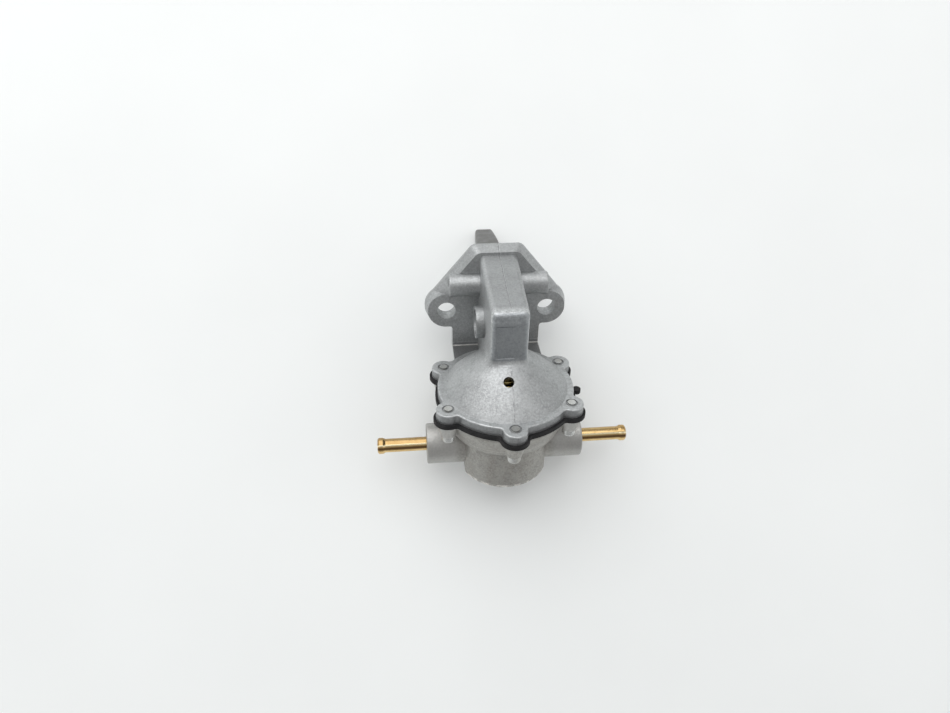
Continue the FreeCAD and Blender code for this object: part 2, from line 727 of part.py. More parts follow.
def lever_cavity():
    """The hollow of the tower, open through the mounting face."""
    past = S.reach + CASTING_LAP
    slope = (S.tower_top_back - S.tower_top) / (S.tower_front + TOWER_BACK)
    ceiling_back = S.tower_top_back - S.tower_wall + slope * (past - TOWER_BACK)
    corners = [
        (-S.tower_front + S.tower_wall, S.cavity_floor),
        (S.cavity_floor_end, S.cavity_floor),
        (S.reach, S.mouth_floor),
        (past, S.mouth_floor),
        (past, ceiling_back),
        (-S.tower_front + S.tower_wall, S.tower_top - S.tower_wall),
    ]
    view = outline(new_sketch("cavity_profile", "side"), corners)
    hollow = extrude("lever_hollow", view, S.cavity_half * 2, middle=True)
    seat = cylinder("rocker_spring_seat", S.rocker_spring_radius + S.rocker_spring_wire * 1.4, S.tower_wall * 2,
                    (0, S.rocker_spring_back, S.rocker_spring_top))
    nub = cylinder("rocker_spring_nub", S.rocker_spring_radius - S.rocker_spring_wire, S.tower_wall,
                   (0, S.rocker_spring_back, S.rocker_spring_top - S.rocker_spring_wire * 1.6))
    return cut("lever_cavity", hollow, seat, nub)


def weep_hole():
    """Drilled square to the dome's side, leaning forwards as it rises."""
    hole = cylinder("weep_hole", S.weep_radius, S.dome_rise)
    hole.Placement = FreeCAD.Placement(V(), FreeCAD.Rotation(V(1, 0, 0), S.weep_lean.number))
    half = S.dome_rise / 2
    lean = math.radians(S.weep_lean.number)
    return bind(hole, Base_x=S.weep_side, Base_y=half * math.sin(lean) - S.weep_front,
                Base_z=S.weep_rise - half * math.cos(lean))


def housing():
    tools = [spring_chamber(), lever_cavity()]
    tools.append(cylinder("rod_guide", S.rod_radius + S.run_gap, S.cavity_floor, (0, 0, S.rim_thick)))
    past = CASTING_LAP + S.ramp_radius
    length = S.pin_boss_half * 2 - S.pin_far_wall + past
    start = -S.pin_boss_half - past
    tools.append(cylinder("pin_bore", S.pin_radius + S.fit_gap, length, (start, PIN_BACK, S.pin_rise), "x"))
    for side in FACES:
        x = S.bolt_spacing / 2 * side
        tools.append(cylinder("bolt_hole", S.bolt_hole_radius, S.reach, (x, S.reach / 2, S.bolt_rise), "y"))
    for degrees in LOBE_ANGLES:
        x, y = around(S.screw_circle, degrees)
        depth = S.rim_thick + S.screw_tip + S.tip_recess_depth
        tools.append(cylinder("screw_hole", S.screw_radius + S.fit_gap, depth, (x, y, 0)))
        if degrees != 90:
            floor = S.rim_thick - S.tip_recess_depth
            tools.append(cylinder("tip_recess", S.tip_recess_radius, S.rim_thick, (x, y, floor)))
    tools.append(cylinder("primer_recess", S.primer_radius - S.primer_ring, S.primer_recess * 2,
                          (-S.primer_end - S.primer_recess, S.primer_back, S.primer_rise), "x"))
    tools.append(weep_hole())
    finish("rocker_housing", cut("housing_cut", housing_solid(), *tools))


# Lower body

def flare():
    """The rim and the cone under it, which turns in at its lower edge."""
    top = -S.diaphragm_thick
    shelf = top - S.body_rim_thick
    edge = -S.flare_drop
    under = edge - S.flare_under
    corners = [
        (0, under),
        (S.bowl_side, under),
        (S.flare_radius - S.flare_round, edge - S.flare_round),
        (S.flare_radius, edge),
        (S.flare_edge_radius, shelf),
        (S.body_rim_radius, shelf + S.body_rim_thick * 0.2),
        (S.body_rim_radius, top),
        (0, top),
    ]
    return revolve("flare", outline(new_sketch("flare_profile", "front"), corners, {2: S.flare_round * 1.6}))


def bowl():
    """Round in front and behind, with flat sides where the hose bosses stand."""
    height = S.bowl_bottom - S.flare_drop
    turned = cylinder("bowl_round", S.bowl_radius, height, (0, 0, -S.bowl_bottom))
    reach = S.bowl_radius + CASTING_LAP
    sides = box("bowl_sides", (-S.bowl_side, -reach, -S.bowl_bottom), (S.bowl_side, reach, -S.flare_drop))
    solid = rounded("bowl_upright", common("bowl_sharp", turned, sides), S.bowl_upright_edge,
                    lambda e: is_upright(e) and abs(abs(e.BoundBox.XMin) - S.bowl_side.number) < 0.01)
    low = -S.bowl_bottom.number
    return rounded("bowl", solid, S.bowl_corner, lambda e: abs(e.BoundBox.ZMax - low) < 0.01)


def lower_body():
    solids = [flare(), bowl()]
    for number, degrees in enumerate(LOBE_ANGLES, start=1):
        x, y = around(S.screw_circle, degrees)
        height = S.screw_boss_end - S.diaphragm_thick
        solids.append(cone(f"screw_boss_{number}", S.screw_boss_radius, S.lobe_radius, height,
                           (x, y, -S.screw_boss_end)))
    bar = cylinder("hose_bar", S.boss_radius, S.boss_half * 2, (-S.boss_half, 0, -S.port_drop), "x")
    solids.append(rounded("hose_bosses", bar, S.boss_edge, lambda e: e.BoundBox.XLength < 0.01))
    solid = fuse("body_solid", *solids)
    tools = [pump_chamber()]
    for side in FACES:
        x = S.well_offset * side
        tools.append(cylinder("well", S.well_radius, S.well_bottom, (x, 0, -S.well_bottom)))
        depth = S.gallery_bottom - S.well_bottom + CASTING_LAP
        tools.append(cylinder("gallery", S.gallery_radius, depth, (x, 0, -S.gallery_bottom)))
        seat = S.boss_half - S.nipple_seat
        start = x if side > 0 else -seat
        tools.append(cylinder("port_passage", S.nipple_bore, seat - S.well_offset, (start, 0, -S.port_drop), "x"))
        start = seat if side > 0 else -S.boss_half - CASTING_LAP
        tools.append(cylinder("nipple_bore", S.nipple_radius + S.fit_gap, S.nipple_seat + CASTING_LAP,
                              (start, 0, -S.port_drop), "x"))
    for degrees in LOBE_ANGLES:
        x, y = around(S.screw_circle, degrees)
        tools.append(cylinder("screw_passage", S.screw_radius + S.side_gap, S.screw_boss_end + CASTING_LAP,
                              (x, y, -S.screw_boss_end - CASTING_LAP)))
    finish("lower_body", cut("body_cut", solid, *tools))


def pump_chamber():
    top = -S.diaphragm_thick
    corners = [
        (0, top + CASTING_LAP),
        (S.pump_radius, top + CASTING_LAP),
        (S.pump_radius, top - S.pump_depth * 0.25),
        (S.pump_floor_radius, top - S.pump_depth),
        (0, top - S.pump_depth),
    ]
    return revolve("pump_chamber", outline(new_sketch("pump_profile", "front"), corners))


# Diaphragm and what it carries

def diaphragm():
    sheet = lobed_rim("diaphragm_sheet", S.diaphragm_thick, -S.diaphragm_thick, S.diaphragm_proud)
    neck = box("tab_neck", (S.rim_radius, -S.tab_half * 0.6, -S.diaphragm_thick), (S.tab_reach - S.tab_half, S.tab_half * 0.6, as_dim(0)))
    head = cylinder("tab_head", S.tab_half, S.diaphragm_thick, (S.tab_reach - S.tab_half, 0, -S.diaphragm_thick))
    holes = [cylinder("rod_hole", S.rod_radius + S.fit_gap, S.diaphragm_thick * 2, (0, 0, -S.diaphragm_thick * 1.5))]
    for degrees in LOBE_ANGLES:
        x, y = around(S.screw_circle, degrees)
        holes.append(cylinder("punched_hole", S.screw_radius + S.side_gap, S.diaphragm_thick * 2,
                              (x, y, -S.diaphragm_thick * 1.5)))
    finish("diaphragm", cut("diaphragm_cut", fuse("diaphragm_blank", sheet, neck, head), *holes))


def plate(label, radius, face, up):
    """A pressed plate with a lip turned away from the diaphragm; up is 1 above it and -1 below."""
    far = face + S.plate_thick * up
    lip = far + S.plate_lip * up
    hole = S.rod_radius + S.fit_gap
    corners = [(hole, face), (radius, face), (radius, lip), (radius - S.plate_thick, lip), (radius - S.plate_thick, far), (hole, far)]
    profile = outline(new_sketch(label + "_profile", "front"), corners)
    finish(label, revolve(label + "_pressing", profile))


def pull_rod():
    top = S.plate_thick
    bottom = -S.diaphragm_thick - S.plate_thick
    corners = [
        (0, bottom - S.rod_rivet_thick),
        (S.rod_rivet_radius * 0.6, bottom - S.rod_rivet_thick),
        (S.rod_rivet_radius, bottom),
        (S.rod_radius, bottom),
        (S.rod_radius, top),
        (S.rod_collar_radius, top),
        (S.rod_collar_radius, top + S.rod_collar_thick),
        (S.rod_radius, top + S.rod_collar_thick),
        (S.rod_radius, S.rod_head_rise),
        (S.rod_head_radius, S.rod_head_rise),
        (S.rod_head_radius, S.rod_head_rise + S.rod_head_thick * 0.6),
        (S.rod_radius, S.rod_head_rise + S.rod_head_thick),
        (0, S.rod_head_rise + S.rod_head_thick),
    ]
    finish("pull_rod", revolve("rod_turning", outline(new_sketch("rod_profile", "front"), corners)))


def seal_and_retainer():
    cup_floor = S.chamber_top - S.retainer_depth
    inner = S.seal_radius + S.fit_gap
    outer = inner + S.retainer_thick
    flange_low = S.chamber_top - S.retainer_thick
    corners = [
        (S.rod_radius * 1.3, cup_floor),
        (outer, cup_floor),
        (outer, flange_low),
        (S.retainer_flange_radius, flange_low),
        (S.retainer_flange_radius, S.chamber_top),
        (inner, S.chamber_top),
        (inner, cup_floor + S.retainer_thick),
        (S.rod_radius * 1.3, cup_floor + S.retainer_thick),
    ]
    finish("seal_retainer", revolve("retainer_pressing", outline(new_sketch("retainer_profile", "front"), corners)))
    lip = S.rod_radius + S.run_gap
    seal = [
        (lip, cup_floor + S.retainer_thick),
        (S.seal_radius, cup_floor + S.retainer_thick),
        (S.seal_radius, S.chamber_top),
        (S.seal_radius - S.retainer_thick, S.chamber_top),
        (lip + S.retainer_thick * 1.5, S.chamber_top - S.retainer_depth * 0.4),
        (lip, S.chamber_top - S.retainer_depth * 0.2),
    ]
    finish("rod_seal", revolve("seal_moulding", outline(new_sketch("seal_profile", "front"), seal)))


def diaphragm_spring():
    high = S.chamber_top - S.retainer_thick
    finish("diaphragm_spring", helix_spring("diaphragm_coil", S.spring_radius, S.spring_wire, S.spring_turns,
                                            S.plate_thick, high))


# Rocker arm, link and pin

def tangent_bow(run, drop):
    """Radius of an arc that leaves a straight line smoothly and falls away by drop over run."""
    return (run * run + drop * drop) / (drop * 2)


def arm_side():
    """Side view of the rocker arm, from its inner end along the bottom to the rounded tip and back."""
    nose = S.arm_nose
    tip_y = ARM_TIP - nose
    lean = math.asin((tip_y - ARM_FORK_END).number / tangent_bow(tip_y - ARM_FORK_END, S.arm_drop).number)
    crest = (tip_y + nose * math.sin(lean), S.arm_hub_top - S.arm_drop)
    centre_z = crest[1] - nose * math.cos(lean)
    corners = [
        (S.arm_inner, S.pin_rise - S.arm_inner_drop),
        (PIN_BACK - S.arm_hub_half, S.pin_rise - S.arm_hub_drop + S.arm_hub_rise),
        (PIN_BACK, S.pin_rise - S.arm_hub_drop),
        (PIN_BACK + S.arm_hub_half, S.pin_rise - S.arm_hub_drop + S.arm_hub_rise * 0.4),
        (PIN_BACK + S.arm_belly_run, S.pin_rise - S.arm_belly_drop),
        (ARM_TIP - S.arm_waist_run, centre_z - nose),
        (tip_y, centre_z - nose),
        (ARM_TIP, centre_z),
        crest,
        (ARM_FORK_END, S.arm_hub_top),
        (PIN_BACK, S.arm_hub_top),
        (PIN_BACK - S.arm_shoulder_run, S.arm_hub_top - S.arm_shoulder_drop),
        (PIN_BACK - S.arm_seat_run, S.arm_seat),
        (S.arm_inner, S.arm_seat),
    ]
    bend = tangent_bow(crest[0] - ARM_FORK_END, S.arm_drop)
    return outline(new_sketch("arm_profile", "side"), corners, {6: nose, 7: nose, 8: bend})


def arm_plan():
    """The arm from above: straight through the flange, cranked a little sideways, then tapering to its tip."""
    taper = S.arm_half - S.arm_tip_half
    bend_start = S.reach + S.side_gap * 10
    bend_middle = (bend_start + ARM_CRANK_END) / 2
    corners = [
        (S.arm_half, S.arm_inner - CASTING_LAP),
        (S.arm_half, bend_start),
        (S.arm_half - S.arm_crank / 2, bend_middle),
        (S.arm_half - S.arm_crank, ARM_CRANK_END),
        (S.arm_tip_half - S.arm_crank, ARM_TIP),
        (-S.arm_tip_half - S.arm_crank, ARM_TIP),
        (-S.arm_half - S.arm_crank, ARM_CRANK_END),
        (-S.arm_half - S.arm_crank / 2, bend_middle),
        (-S.arm_half, bend_start),
        (-S.arm_half, S.arm_inner - CASTING_LAP),
    ]
    crank = tangent_bow(bend_middle - bend_start, S.arm_crank / 2)
    narrow = tangent_bow(ARM_TIP - ARM_CRANK_END, taper)
    bows = {1: crank, 2: -crank, 3: narrow, 5: narrow, 6: -crank, 7: crank}
    return outline(new_sketch("arm_plan", "top"), corners, bows)


def rocker_arm():
    view = extrude("arm_view", arm_side(), S.arm_half * 6, middle=True)
    arm = common("arm_blank", view, extrude("arm_column", arm_plan(), S.tower_top_back))
    arm = rounded("arm_forging", arm, S.arm_edge, is_arm_edge)
    slot_half = S.link_half + S.side_gap
    inner = S.arm_inner - CASTING_LAP
    slot = box("arm_slot", (-slot_half, inner, as_dim(0)),
               (slot_half, ARM_FORK_END, S.arm_hub_top - S.arm_web))
    floor = box("arm_slot_floor", (-slot_half * 2, inner, S.arm_seat - S.arm_web),
                (slot_half * 2, PIN_BACK - S.arm_floor_run, S.arm_hub_top))
    bore = cylinder("arm_bore", S.pin_radius + S.run_gap, S.arm_half * 4,
                    (-S.arm_half * 2, PIN_BACK, S.pin_rise), "x")
    finish("rocker_arm", cut("arm_cut", arm, cut("arm_fork_slot", slot, floor), bore))


def is_arm_edge(edge):
    """Long edges of the arm, from the pin outwards and round its tip."""
    ends = [point.Point for point in edge.Vertexes]
    if len(ends) != 2 or min(point.y for point in ends) < PIN_BACK.number - 0.1:
        return False
    return abs(ends[0].x - ends[1].x) < 2.0 and not is_upright(edge)


def link_lever():
    nose_rise = S.rod_head_rise - S.fork_lift_gap - S.fork_nose
    tail_top = S.arm_hub_top - S.arm_web - S.link_play
    side = [
        (0, nose_rise + S.fork_nose),
        (0, nose_rise - S.fork_nose),
        (S.fork_root, nose_rise - S.fork_nose),
        (PIN_BACK - S.link_knee_run, S.pin_rise - S.link_knee_drop),
        (PIN_BACK - S.fork_root * 0.36, S.pin_rise - S.link_hub_radius * 0.92),
        (LINK_TAIL, S.pin_rise + S.link_tail_rise),
        (LINK_TAIL, tail_top),
        (PIN_BACK, tail_top),
        (PIN_BACK - S.link_heel_run, S.pin_rise + S.link_heel_rise),
        (PIN_BACK - S.link_knee_run, S.pin_rise - S.link_knee_top),
        (S.fork_root, nose_rise + S.fork_nose * 0.85),
    ]
    bar = extrude("link_view", outline(new_sketch("link_profile", "side"), side), S.fork_half * 2, middle=True)
    nose = cylinder("link_nose", S.fork_nose, S.fork_half * 2, (-S.fork_half, 0, nose_rise), "x")
    hub = cylinder("link_hub", S.link_hub_radius, S.link_half * 2, (-S.link_half, PIN_BACK, S.pin_rise), "x")
    plan_half = [
        (S.fork_half, -S.fork_nose - CASTING_LAP),
        (S.fork_half, S.fork_taper_start),
        (S.link_half, S.fork_taper_end),
        (S.link_half, LINK_TAIL + CASTING_LAP),
    ]
    plan = outline(new_sketch("link_plan", "top"), mirrored(plan_half))
    blank = common("link_blank", fuse("link_bar", bar, nose), extrude("link_column", plan, S.tower_top_back))
    slot_centre = S.fork_slot_end - S.fork_slot_half
    slot = box("fork_slot", (-S.fork_slot_half, -S.fork_nose * 2, as_dim(0)),
               (S.fork_slot_half, slot_centre, S.tower_top))
    slot_end = cylinder("fork_slot_end", S.fork_slot_half, S.tower_top, (0, slot_centre, 0))
    bore = cylinder("link_bore", S.pin_radius + S.run_gap, S.arm_half * 2,
                    (-S.arm_half, PIN_BACK, S.pin_rise), "x")
    finish("link_lever", cut("link_cut", fuse("link_solid", blank, hub), slot, slot_end, bore))


def pin_and_washers():
    start = -S.pin_boss_half + S.pin_inset
    end = S.pin_boss_half - S.pin_far_wall - S.pin_inset / 4
    turning = cylinder("pin_turning", S.pin_radius, end - start, (start, PIN_BACK, S.pin_rise), "x")
    finish("rocker_pin", rounded("pin_ground", turning, S.pin_end_round, lambda edge: edge.BoundBox.XLength < 0.01))
    rings = []
    for side in FACES:
        near = S.arm_half + S.side_gap
        x = near if side > 0 else -near - S.pin_washer_thick
        at = (x, PIN_BACK, S.pin_rise)
        disc = cylinder("pin_washer_disc", S.pin_washer_radius, S.pin_washer_thick, at, "x")
        hole = cylinder("pin_washer_hole", S.pin_radius + S.run_gap, S.pin_washer_thick, at, "x")
        rings.append(cut("pin_washer", disc, hole))
    finish("pin_washers", group("pin_washer_pair", rings))


def group(name, solids):
    """Like pieces kept together as separate solids."""
    pack = doc.addObject("Part::Compound", name)
    pack.Links = solids
    return pack


def rocker_spring():
    finish("rocker_spring", helix_spring("rocker_coil", S.rocker_spring_radius, S.rocker_spring_wire,
                                         S.rocker_spring_turns, S.arm_seat, S.rocker_spring_top,
                                         (0, S.rocker_spring_back)))


# Valves: the inlet opens upwards, the outlet is the same assembly turned over

CAGE_LOW = S.gasket_thick - S.well_bottom
CAGE_HIGH = CAGE_LOW + S.cage_height


def valve(name, x, up):
    """One valve about a vertical axis at x; up is 1 where the disc lifts upwards and -1 where it drops."""
    seat_face = CAGE_LOW if up > 0 else CAGE_HIGH
    outer = S.well_radius - S.fit_gap

    def level(rise):
        return seat_face + rise * up

    seat_top = level(S.seat_thick)
    bridge = level(S.cage_height - S.bridge_thick)
    end = level(S.cage_height)
    stem_end = level(S.cage_height - S.bridge_thick - S.disc_thick)
    corners = [(0, seat_face), (outer, seat_face), (outer, end), (0, end)]
    turned = revolve(name + "_cup", outline(new_sketch(name + "_cage_profile", "front"), corners))
    hollow_corners = [(S.stem_radius, seat_top), (outer - S.cage_wall, seat_top), (outer - S.cage_wall, bridge),
                      (0, bridge), (0, stem_end), (S.stem_radius, stem_end)]
    hollow = revolve(name + "_hollow", outline(new_sketch(name + "_hollow_profile", "front"), hollow_corners))
    low = min(seat_face.number, seat_top.number)
    tools = [hollow]
    for step in range(SEAT_PORTS):
        px, py = around(S.seat_port_circle, 360 / SEAT_PORTS * step)
        at = (px, py, seat_face if seat_face.number == low else seat_top)
        tools.append(cylinder("seat_port", S.seat_port_radius, S.seat_thick, at))
    for step in range(BRIDGE_PORTS):
        px, py = around(S.bridge_port_circle, 360 / BRIDGE_PORTS * step + 45)
        at = (px, py, bridge if bridge.number < end.number else end)
        tools.append(cylinder("bridge_port", S.bridge_port_radius, S.bridge_thick, at))
    place(name + "_cage", cut(name + "_cage_cut", turned, *tools), x)
    rest = seat_top if up > 0 else seat_top - S.disc_thick
    disc = cylinder(name + "_disc_blank", S.disc_radius, S.disc_thick, (0, 0, rest))
    hole = cylinder(name + "_disc_hole", S.stem_radius + S.run_gap, S.disc_thick, (0, 0, rest))
    place(name + "_disc", cut(name + "_disc_cut", disc, hole), x)
    disc_back = level(S.seat_thick + S.disc_thick)
    low, high = (disc_back, bridge) if up > 0 else (bridge, disc_back)
    place(name + "_spring", helix_spring(name + "_coil", S.valve_spring_radius, S.valve_spring_wire,
                                         S.valve_spring_turns, low, high), x)
    ring = cylinder(name + "_gasket_blank", S.well_radius - S.fit_gap, S.gasket_thick, (0, 0, -S.well_bottom))
    hole = cylinder(name + "_gasket_hole", S.gallery_radius, S.gasket_thick, (0, 0, -S.well_bottom))
    place(name + "_gasket", cut(name + "_gasket_cut", ring, hole), x)


def place(label, solid, x):
    finish(label, solid)
    bind(solid, Base_x=x)


# Nipples and screws

def nipple(label, side):
    """A hose tube along X; side is -1 on the left and 1 on the right."""
    start = S.boss_half - S.nipple_seat
    tip = S.nipple_tip
    bead_front = tip - S.tip_round
    bead_back = bead_front - S.bead_land
    corners = [
        (start, S.nipple_bore),
        (tip, S.nipple_bore),
        (tip, S.bead_radius - S.tip_round),
        (bead_front, S.bead_radius),
        (bead_back, S.bead_radius),
        (bead_back - S.bead_slope, S.nipple_radius),
        (start, S.nipple_radius),
    ]
    corners = [(x * side, radius - S.port_drop) for x, radius in corners]
    profile = outline(new_sketch(label + "_profile", "front"), corners, {2: S.tip_round * side})
    finish(label, revolve(label + "_tube", profile, V(1, 0, 0), -S.port_drop))


def screws():
    bolts = []
    rings = []
    seat = -S.screw_boss_end
    under = seat - S.washer_thick
    for degrees in LOBE_ANGLES:
        x, y = around(S.screw_circle, degrees)
        shank = cylinder("screw_shank", S.screw_radius, S.rim_thick + S.screw_tip - under, (x, y, under))
        head = cylinder("screw_head_blank", S.head_radius, S.head_height, (x, y, under - S.head_height))
        low = (under - S.head_height).number
        head = rounded("screw_head", head, S.head_edge, lambda e: abs(e.BoundBox.ZMax - low) < 0.01)
        slot = box("screw_slot", (x - S.head_radius * 1.2, y - S.head_slot_half, under - S.head_height),
                   (x + S.head_radius * 1.2, y + S.head_slot_half, under - S.head_height + S.head_slot_depth))
        bolts.append(cut("body_screw", fuse("screw_solid", shank, head), slot))
        disc = cylinder("washer_disc", S.washer_radius, S.washer_thick, (x, y, under))
        hole = cylinder("washer_hole", S.screw_radius + S.side_gap, S.washer_thick, (x, y, under))
        rings.append(cut("screw_washer", disc, hole))
    finish("body_screws", group("screw_set", bolts))
    finish("screw_washers", group("washer_set", rings))


def check_and_write():
    """Nothing is written unless every object is sound."""
    doc.recompute()
    for thing in doc.Objects:
        if "Invalid" in thing.State or "Error" in thing.State:
            raise RuntimeError(f"{thing.Name} ({thing.Label}) failed: {thing.State}")
    os.makedirs("parts", exist_ok=True)
    for label, solid in NODES.items():
        shape = solid.Shape
        if shape.isNull() or not shape.isValid() or not shape.Solids:
            raise RuntimeError(f"{label} has no sound shape")
    for label, solid in NODES.items():
        solid.Shape.exportStep(os.path.join("parts", label + ".step"))
        count = len(solid.Shape.Solids)
        print(f"{label}: {count} solid(s), {solid.Shape.Volume:.1f} mm3")


housing()
lower_body()
diaphragm()
plate("upper_diaphragm_plate", S.upper_plate_radius, as_dim(0), 1)
plate("lower_diaphragm_plate", S.lower_plate_radius, -S.diaphragm_thick, -1)
pull_rod()
seal_and_retainer()
diaphragm_spring()
rocker_arm()
link_lever()
pin_and_washers()
rocker_spring()
valve("inlet_valve", -S.well_offset, 1)
valve("outlet_valve", S.well_offset, -1)
nipple("inlet_nipple", -1)
nipple("outlet_nipple", 1)
screws()
check_and_write()
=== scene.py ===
"""A small diaphragm fuel pump on a pale table: finishes, lamps and camera for the CAD frame."""

import math

import bmesh
import bpy
from mathutils import Matrix, Vector


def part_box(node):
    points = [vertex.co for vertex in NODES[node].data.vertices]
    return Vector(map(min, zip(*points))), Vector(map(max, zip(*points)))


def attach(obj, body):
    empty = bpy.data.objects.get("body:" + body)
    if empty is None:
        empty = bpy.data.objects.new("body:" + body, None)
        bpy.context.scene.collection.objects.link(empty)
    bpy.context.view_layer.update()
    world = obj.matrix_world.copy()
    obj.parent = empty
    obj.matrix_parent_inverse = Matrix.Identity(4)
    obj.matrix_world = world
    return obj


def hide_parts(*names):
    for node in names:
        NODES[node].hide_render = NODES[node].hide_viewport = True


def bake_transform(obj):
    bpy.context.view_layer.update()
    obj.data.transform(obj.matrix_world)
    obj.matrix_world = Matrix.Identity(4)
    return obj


bl_info = {
    "name": "Diaphragm fuel pump",
    "version": (1, 0, 0),
    "blender": (4, 5, 0),
    "location": "View3D > Sidebar > Pump",
    "description": "Dresses a diaphragm fuel pump and sets its table, lamps and camera",
    "category": "Object",
}

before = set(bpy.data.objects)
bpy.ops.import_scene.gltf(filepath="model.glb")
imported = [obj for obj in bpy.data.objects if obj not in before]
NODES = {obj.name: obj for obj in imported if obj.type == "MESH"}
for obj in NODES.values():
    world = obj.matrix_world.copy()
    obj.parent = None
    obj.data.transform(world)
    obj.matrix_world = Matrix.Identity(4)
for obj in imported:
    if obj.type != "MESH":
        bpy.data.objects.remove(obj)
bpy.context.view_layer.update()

MM = 0.001

# Places on the pump in its own frame.
CLAMP_FACE = -22.0 * MM
RIM_TOP = -17.6 * MM
WEB_TOP = -19.9 * MM
BOWL_STEP = -34.6 * MM
BOWL_BASE = -61.7 * MM
FLANGE_FRONT = -7.0 * MM
DECK_FRONT = -20.0 * MM
DOME_FRONT = -52.0 * MM
TOWER_FACE = -49.0 * MM
TOWER_FOOT = -0.1 * MM
TOWER_BROW = 17.9 * MM
TOWER_SIDE = 7.2 * MM
PANEL_ACROSS = (-6.0 * MM, 2.2 * MM)
PANEL_UP = (1.2 * MM, 17.4 * MM)
PIN_BOSS_END = -23.0 * MM
HOSE_BOSS_START = 21.0 * MM
HOSE_BOSS_FULL = 24.0 * MM
NIPPLE_AXIS = -49.9 * MM
SCREW_CIRCLE = 31.0 * MM
SCREW_RING = 2.25 * MM
MIDDLE = Vector((0.0, -0.0433, -0.022))

# Each coil spring, the body that its free end follows, and the height of its fixed end.
SPRINGS = (
    ("diaphragm_spring", "pull_group", -7.6 * MM),
    ("rocker_spring", "arm", 22.0 * MM),
    ("inlet_valve_spring", "inlet_flap", -30.4 * MM),
    ("outlet_valve_spring", "outlet_flap", -36.0 * MM),
)

# The diaphragm between its clamped rim and its plates.
FOLDS = 12
FOLD_OUTER = 23.9 * MM
FOLD_INNER = 18.6 * MM
FOLD_STEPS_OUT = 10
FOLD_STEPS_ACROSS = 6
SAME_POINT = 0.001 * MM
ON_PLANE = 0.0001 * MM

# The pump rests on its arm's tip and its bowl's edge, so the table slopes in the pump's frame.
TABLE_NORMAL = Vector((0.0, -0.7614, 0.6483)).normalized()
TABLE_SIZE = 3.0
TABLE_SHADE = 0.975

# The camera, and the direction across the brass tubes that is up in the picture.
CAMERA_RIGHT = Vector((0.9948, -0.1013, 0.0148))
CAMERA_UP = Vector((0.0455, 0.5674, 0.8222))
CAMERA_BACK = Vector((-0.0917, -0.8172, 0.5690))
CAMERA_PLACE = Vector((-0.04319, -0.30355, 0.17952))
SENSOR = 36.0
# The brass's painted reflections are laid out along this direction.
PICTURE_UP = Vector((0.0, 0.568, 0.823))

# The soft lamps: rise over the table and side from the picture's top, in degrees.
LAMP_DISTANCE = 1.6
WINDOW_LAMP = {"rise": 45.0, "side": -20.0, "size": (2.4, 1.6)}
RIGHT_LAMP = {"rise": 38.0, "side": 80.0, "size": (1.6, 1.4)}
LEFT_LAMP = {"rise": 38.0, "side": -85.0, "size": (1.6, 1.4)}
LEFT_SHARE = 0.95

# How deep the relief of a casting's skin goes, the fixed colours of the marks on it, and the
# colours of the shade, light and highlights painted on it.
SKIN_DEPTH = 0.35 * MM
SEAM_SHADE = (0.09, 0.09, 0.09)
DECK_PAINTED_SHADE = (0.16, 0.155, 0.15)
WEB_EDGE_HIGHLIGHT = (0.85, 0.84, 0.80)
RIM_SIDE_PAINTED_SHADE = (0.24, 0.245, 0.25)
RECESS_PAINTED_SHADE = (0.12, 0.12, 0.12)
TOWER_FRONT_PAINTED_SHADE = (0.21, 0.235, 0.26)
TOWER_TOP_SHADE = (0.25, 0.26, 0.265)
FLOW_SHADE = (0.30, 0.27, 0.24)
HOSE_BOSS_PAINTED_LIGHT = (0.52, 0.52, 0.51)
BURR_HIGHLIGHT = (0.82, 0.80, 0.76)

# Fixed colours of the specks on the brass, and of the reflections painted on it.
BRASS_SPECK = (0.30, 0.16, 0.05)
BRASS_DARK_REFLECTION = (0.12, 0.055, 0.018)
BRASS_TOP_REFLECTION = (0.26, 0.155, 0.06)
BRASS_HIGHLIGHT_LINE = (1.0, 0.90, 0.62)


class Wire:
    """A shader socket that adds the nodes of an expression written with it."""

    def __init__(self, tree, socket):
        self.tree = tree
        self.socket = socket

    def math(self, operation, *values, clamp=False):
        settings = {"operation": operation, "use_clamp": clamp}
        return add_node(self.tree, "ShaderNodeMath", settings, *values)

    def __add__(self, other):
        return self.math("ADD", self, other)

    __radd__ = __add__

    def __sub__(self, other):
        return self.math("SUBTRACT", self, other)

    def __rsub__(self, other):
        return self.math("SUBTRACT", other, self)

    def __mul__(self, other):
        return self.math("MULTIPLY", self, other)

    __rmul__ = __mul__

    def __pow__(self, other):
        return self.math("POWER", self, other)

    def __abs__(self):
        return self.math("ABSOLUTE", self)

    def clamped(self):
        return self.math("ADD", self, 0.0, clamp=True)

    def at_least(self, other):
        return self.math("MAXIMUM", self, other)


def plug(tree, socket, value):
    """A link from a wire, or the socket's own number or colour."""
    if isinstance(value, Wire):
        tree.links.new(value.socket, socket)
    else:
        socket.default_value = value


def add_node(tree, kind, settings, *values, out=0, **named):
    """One node: its settings first, then the values or links of its sockets, None for neither."""
    node = tree.nodes.new(kind)
    for name, value in settings.items():
        setattr(node, name, value)
    for socket, value in zip(node.inputs, values):
        if value is not None:
            plug(tree, socket, value)
    for name, value in named.items():
        plug(tree, node.inputs[name.replace("_", " ")], value)
    return Wire(tree, node.outputs[out])


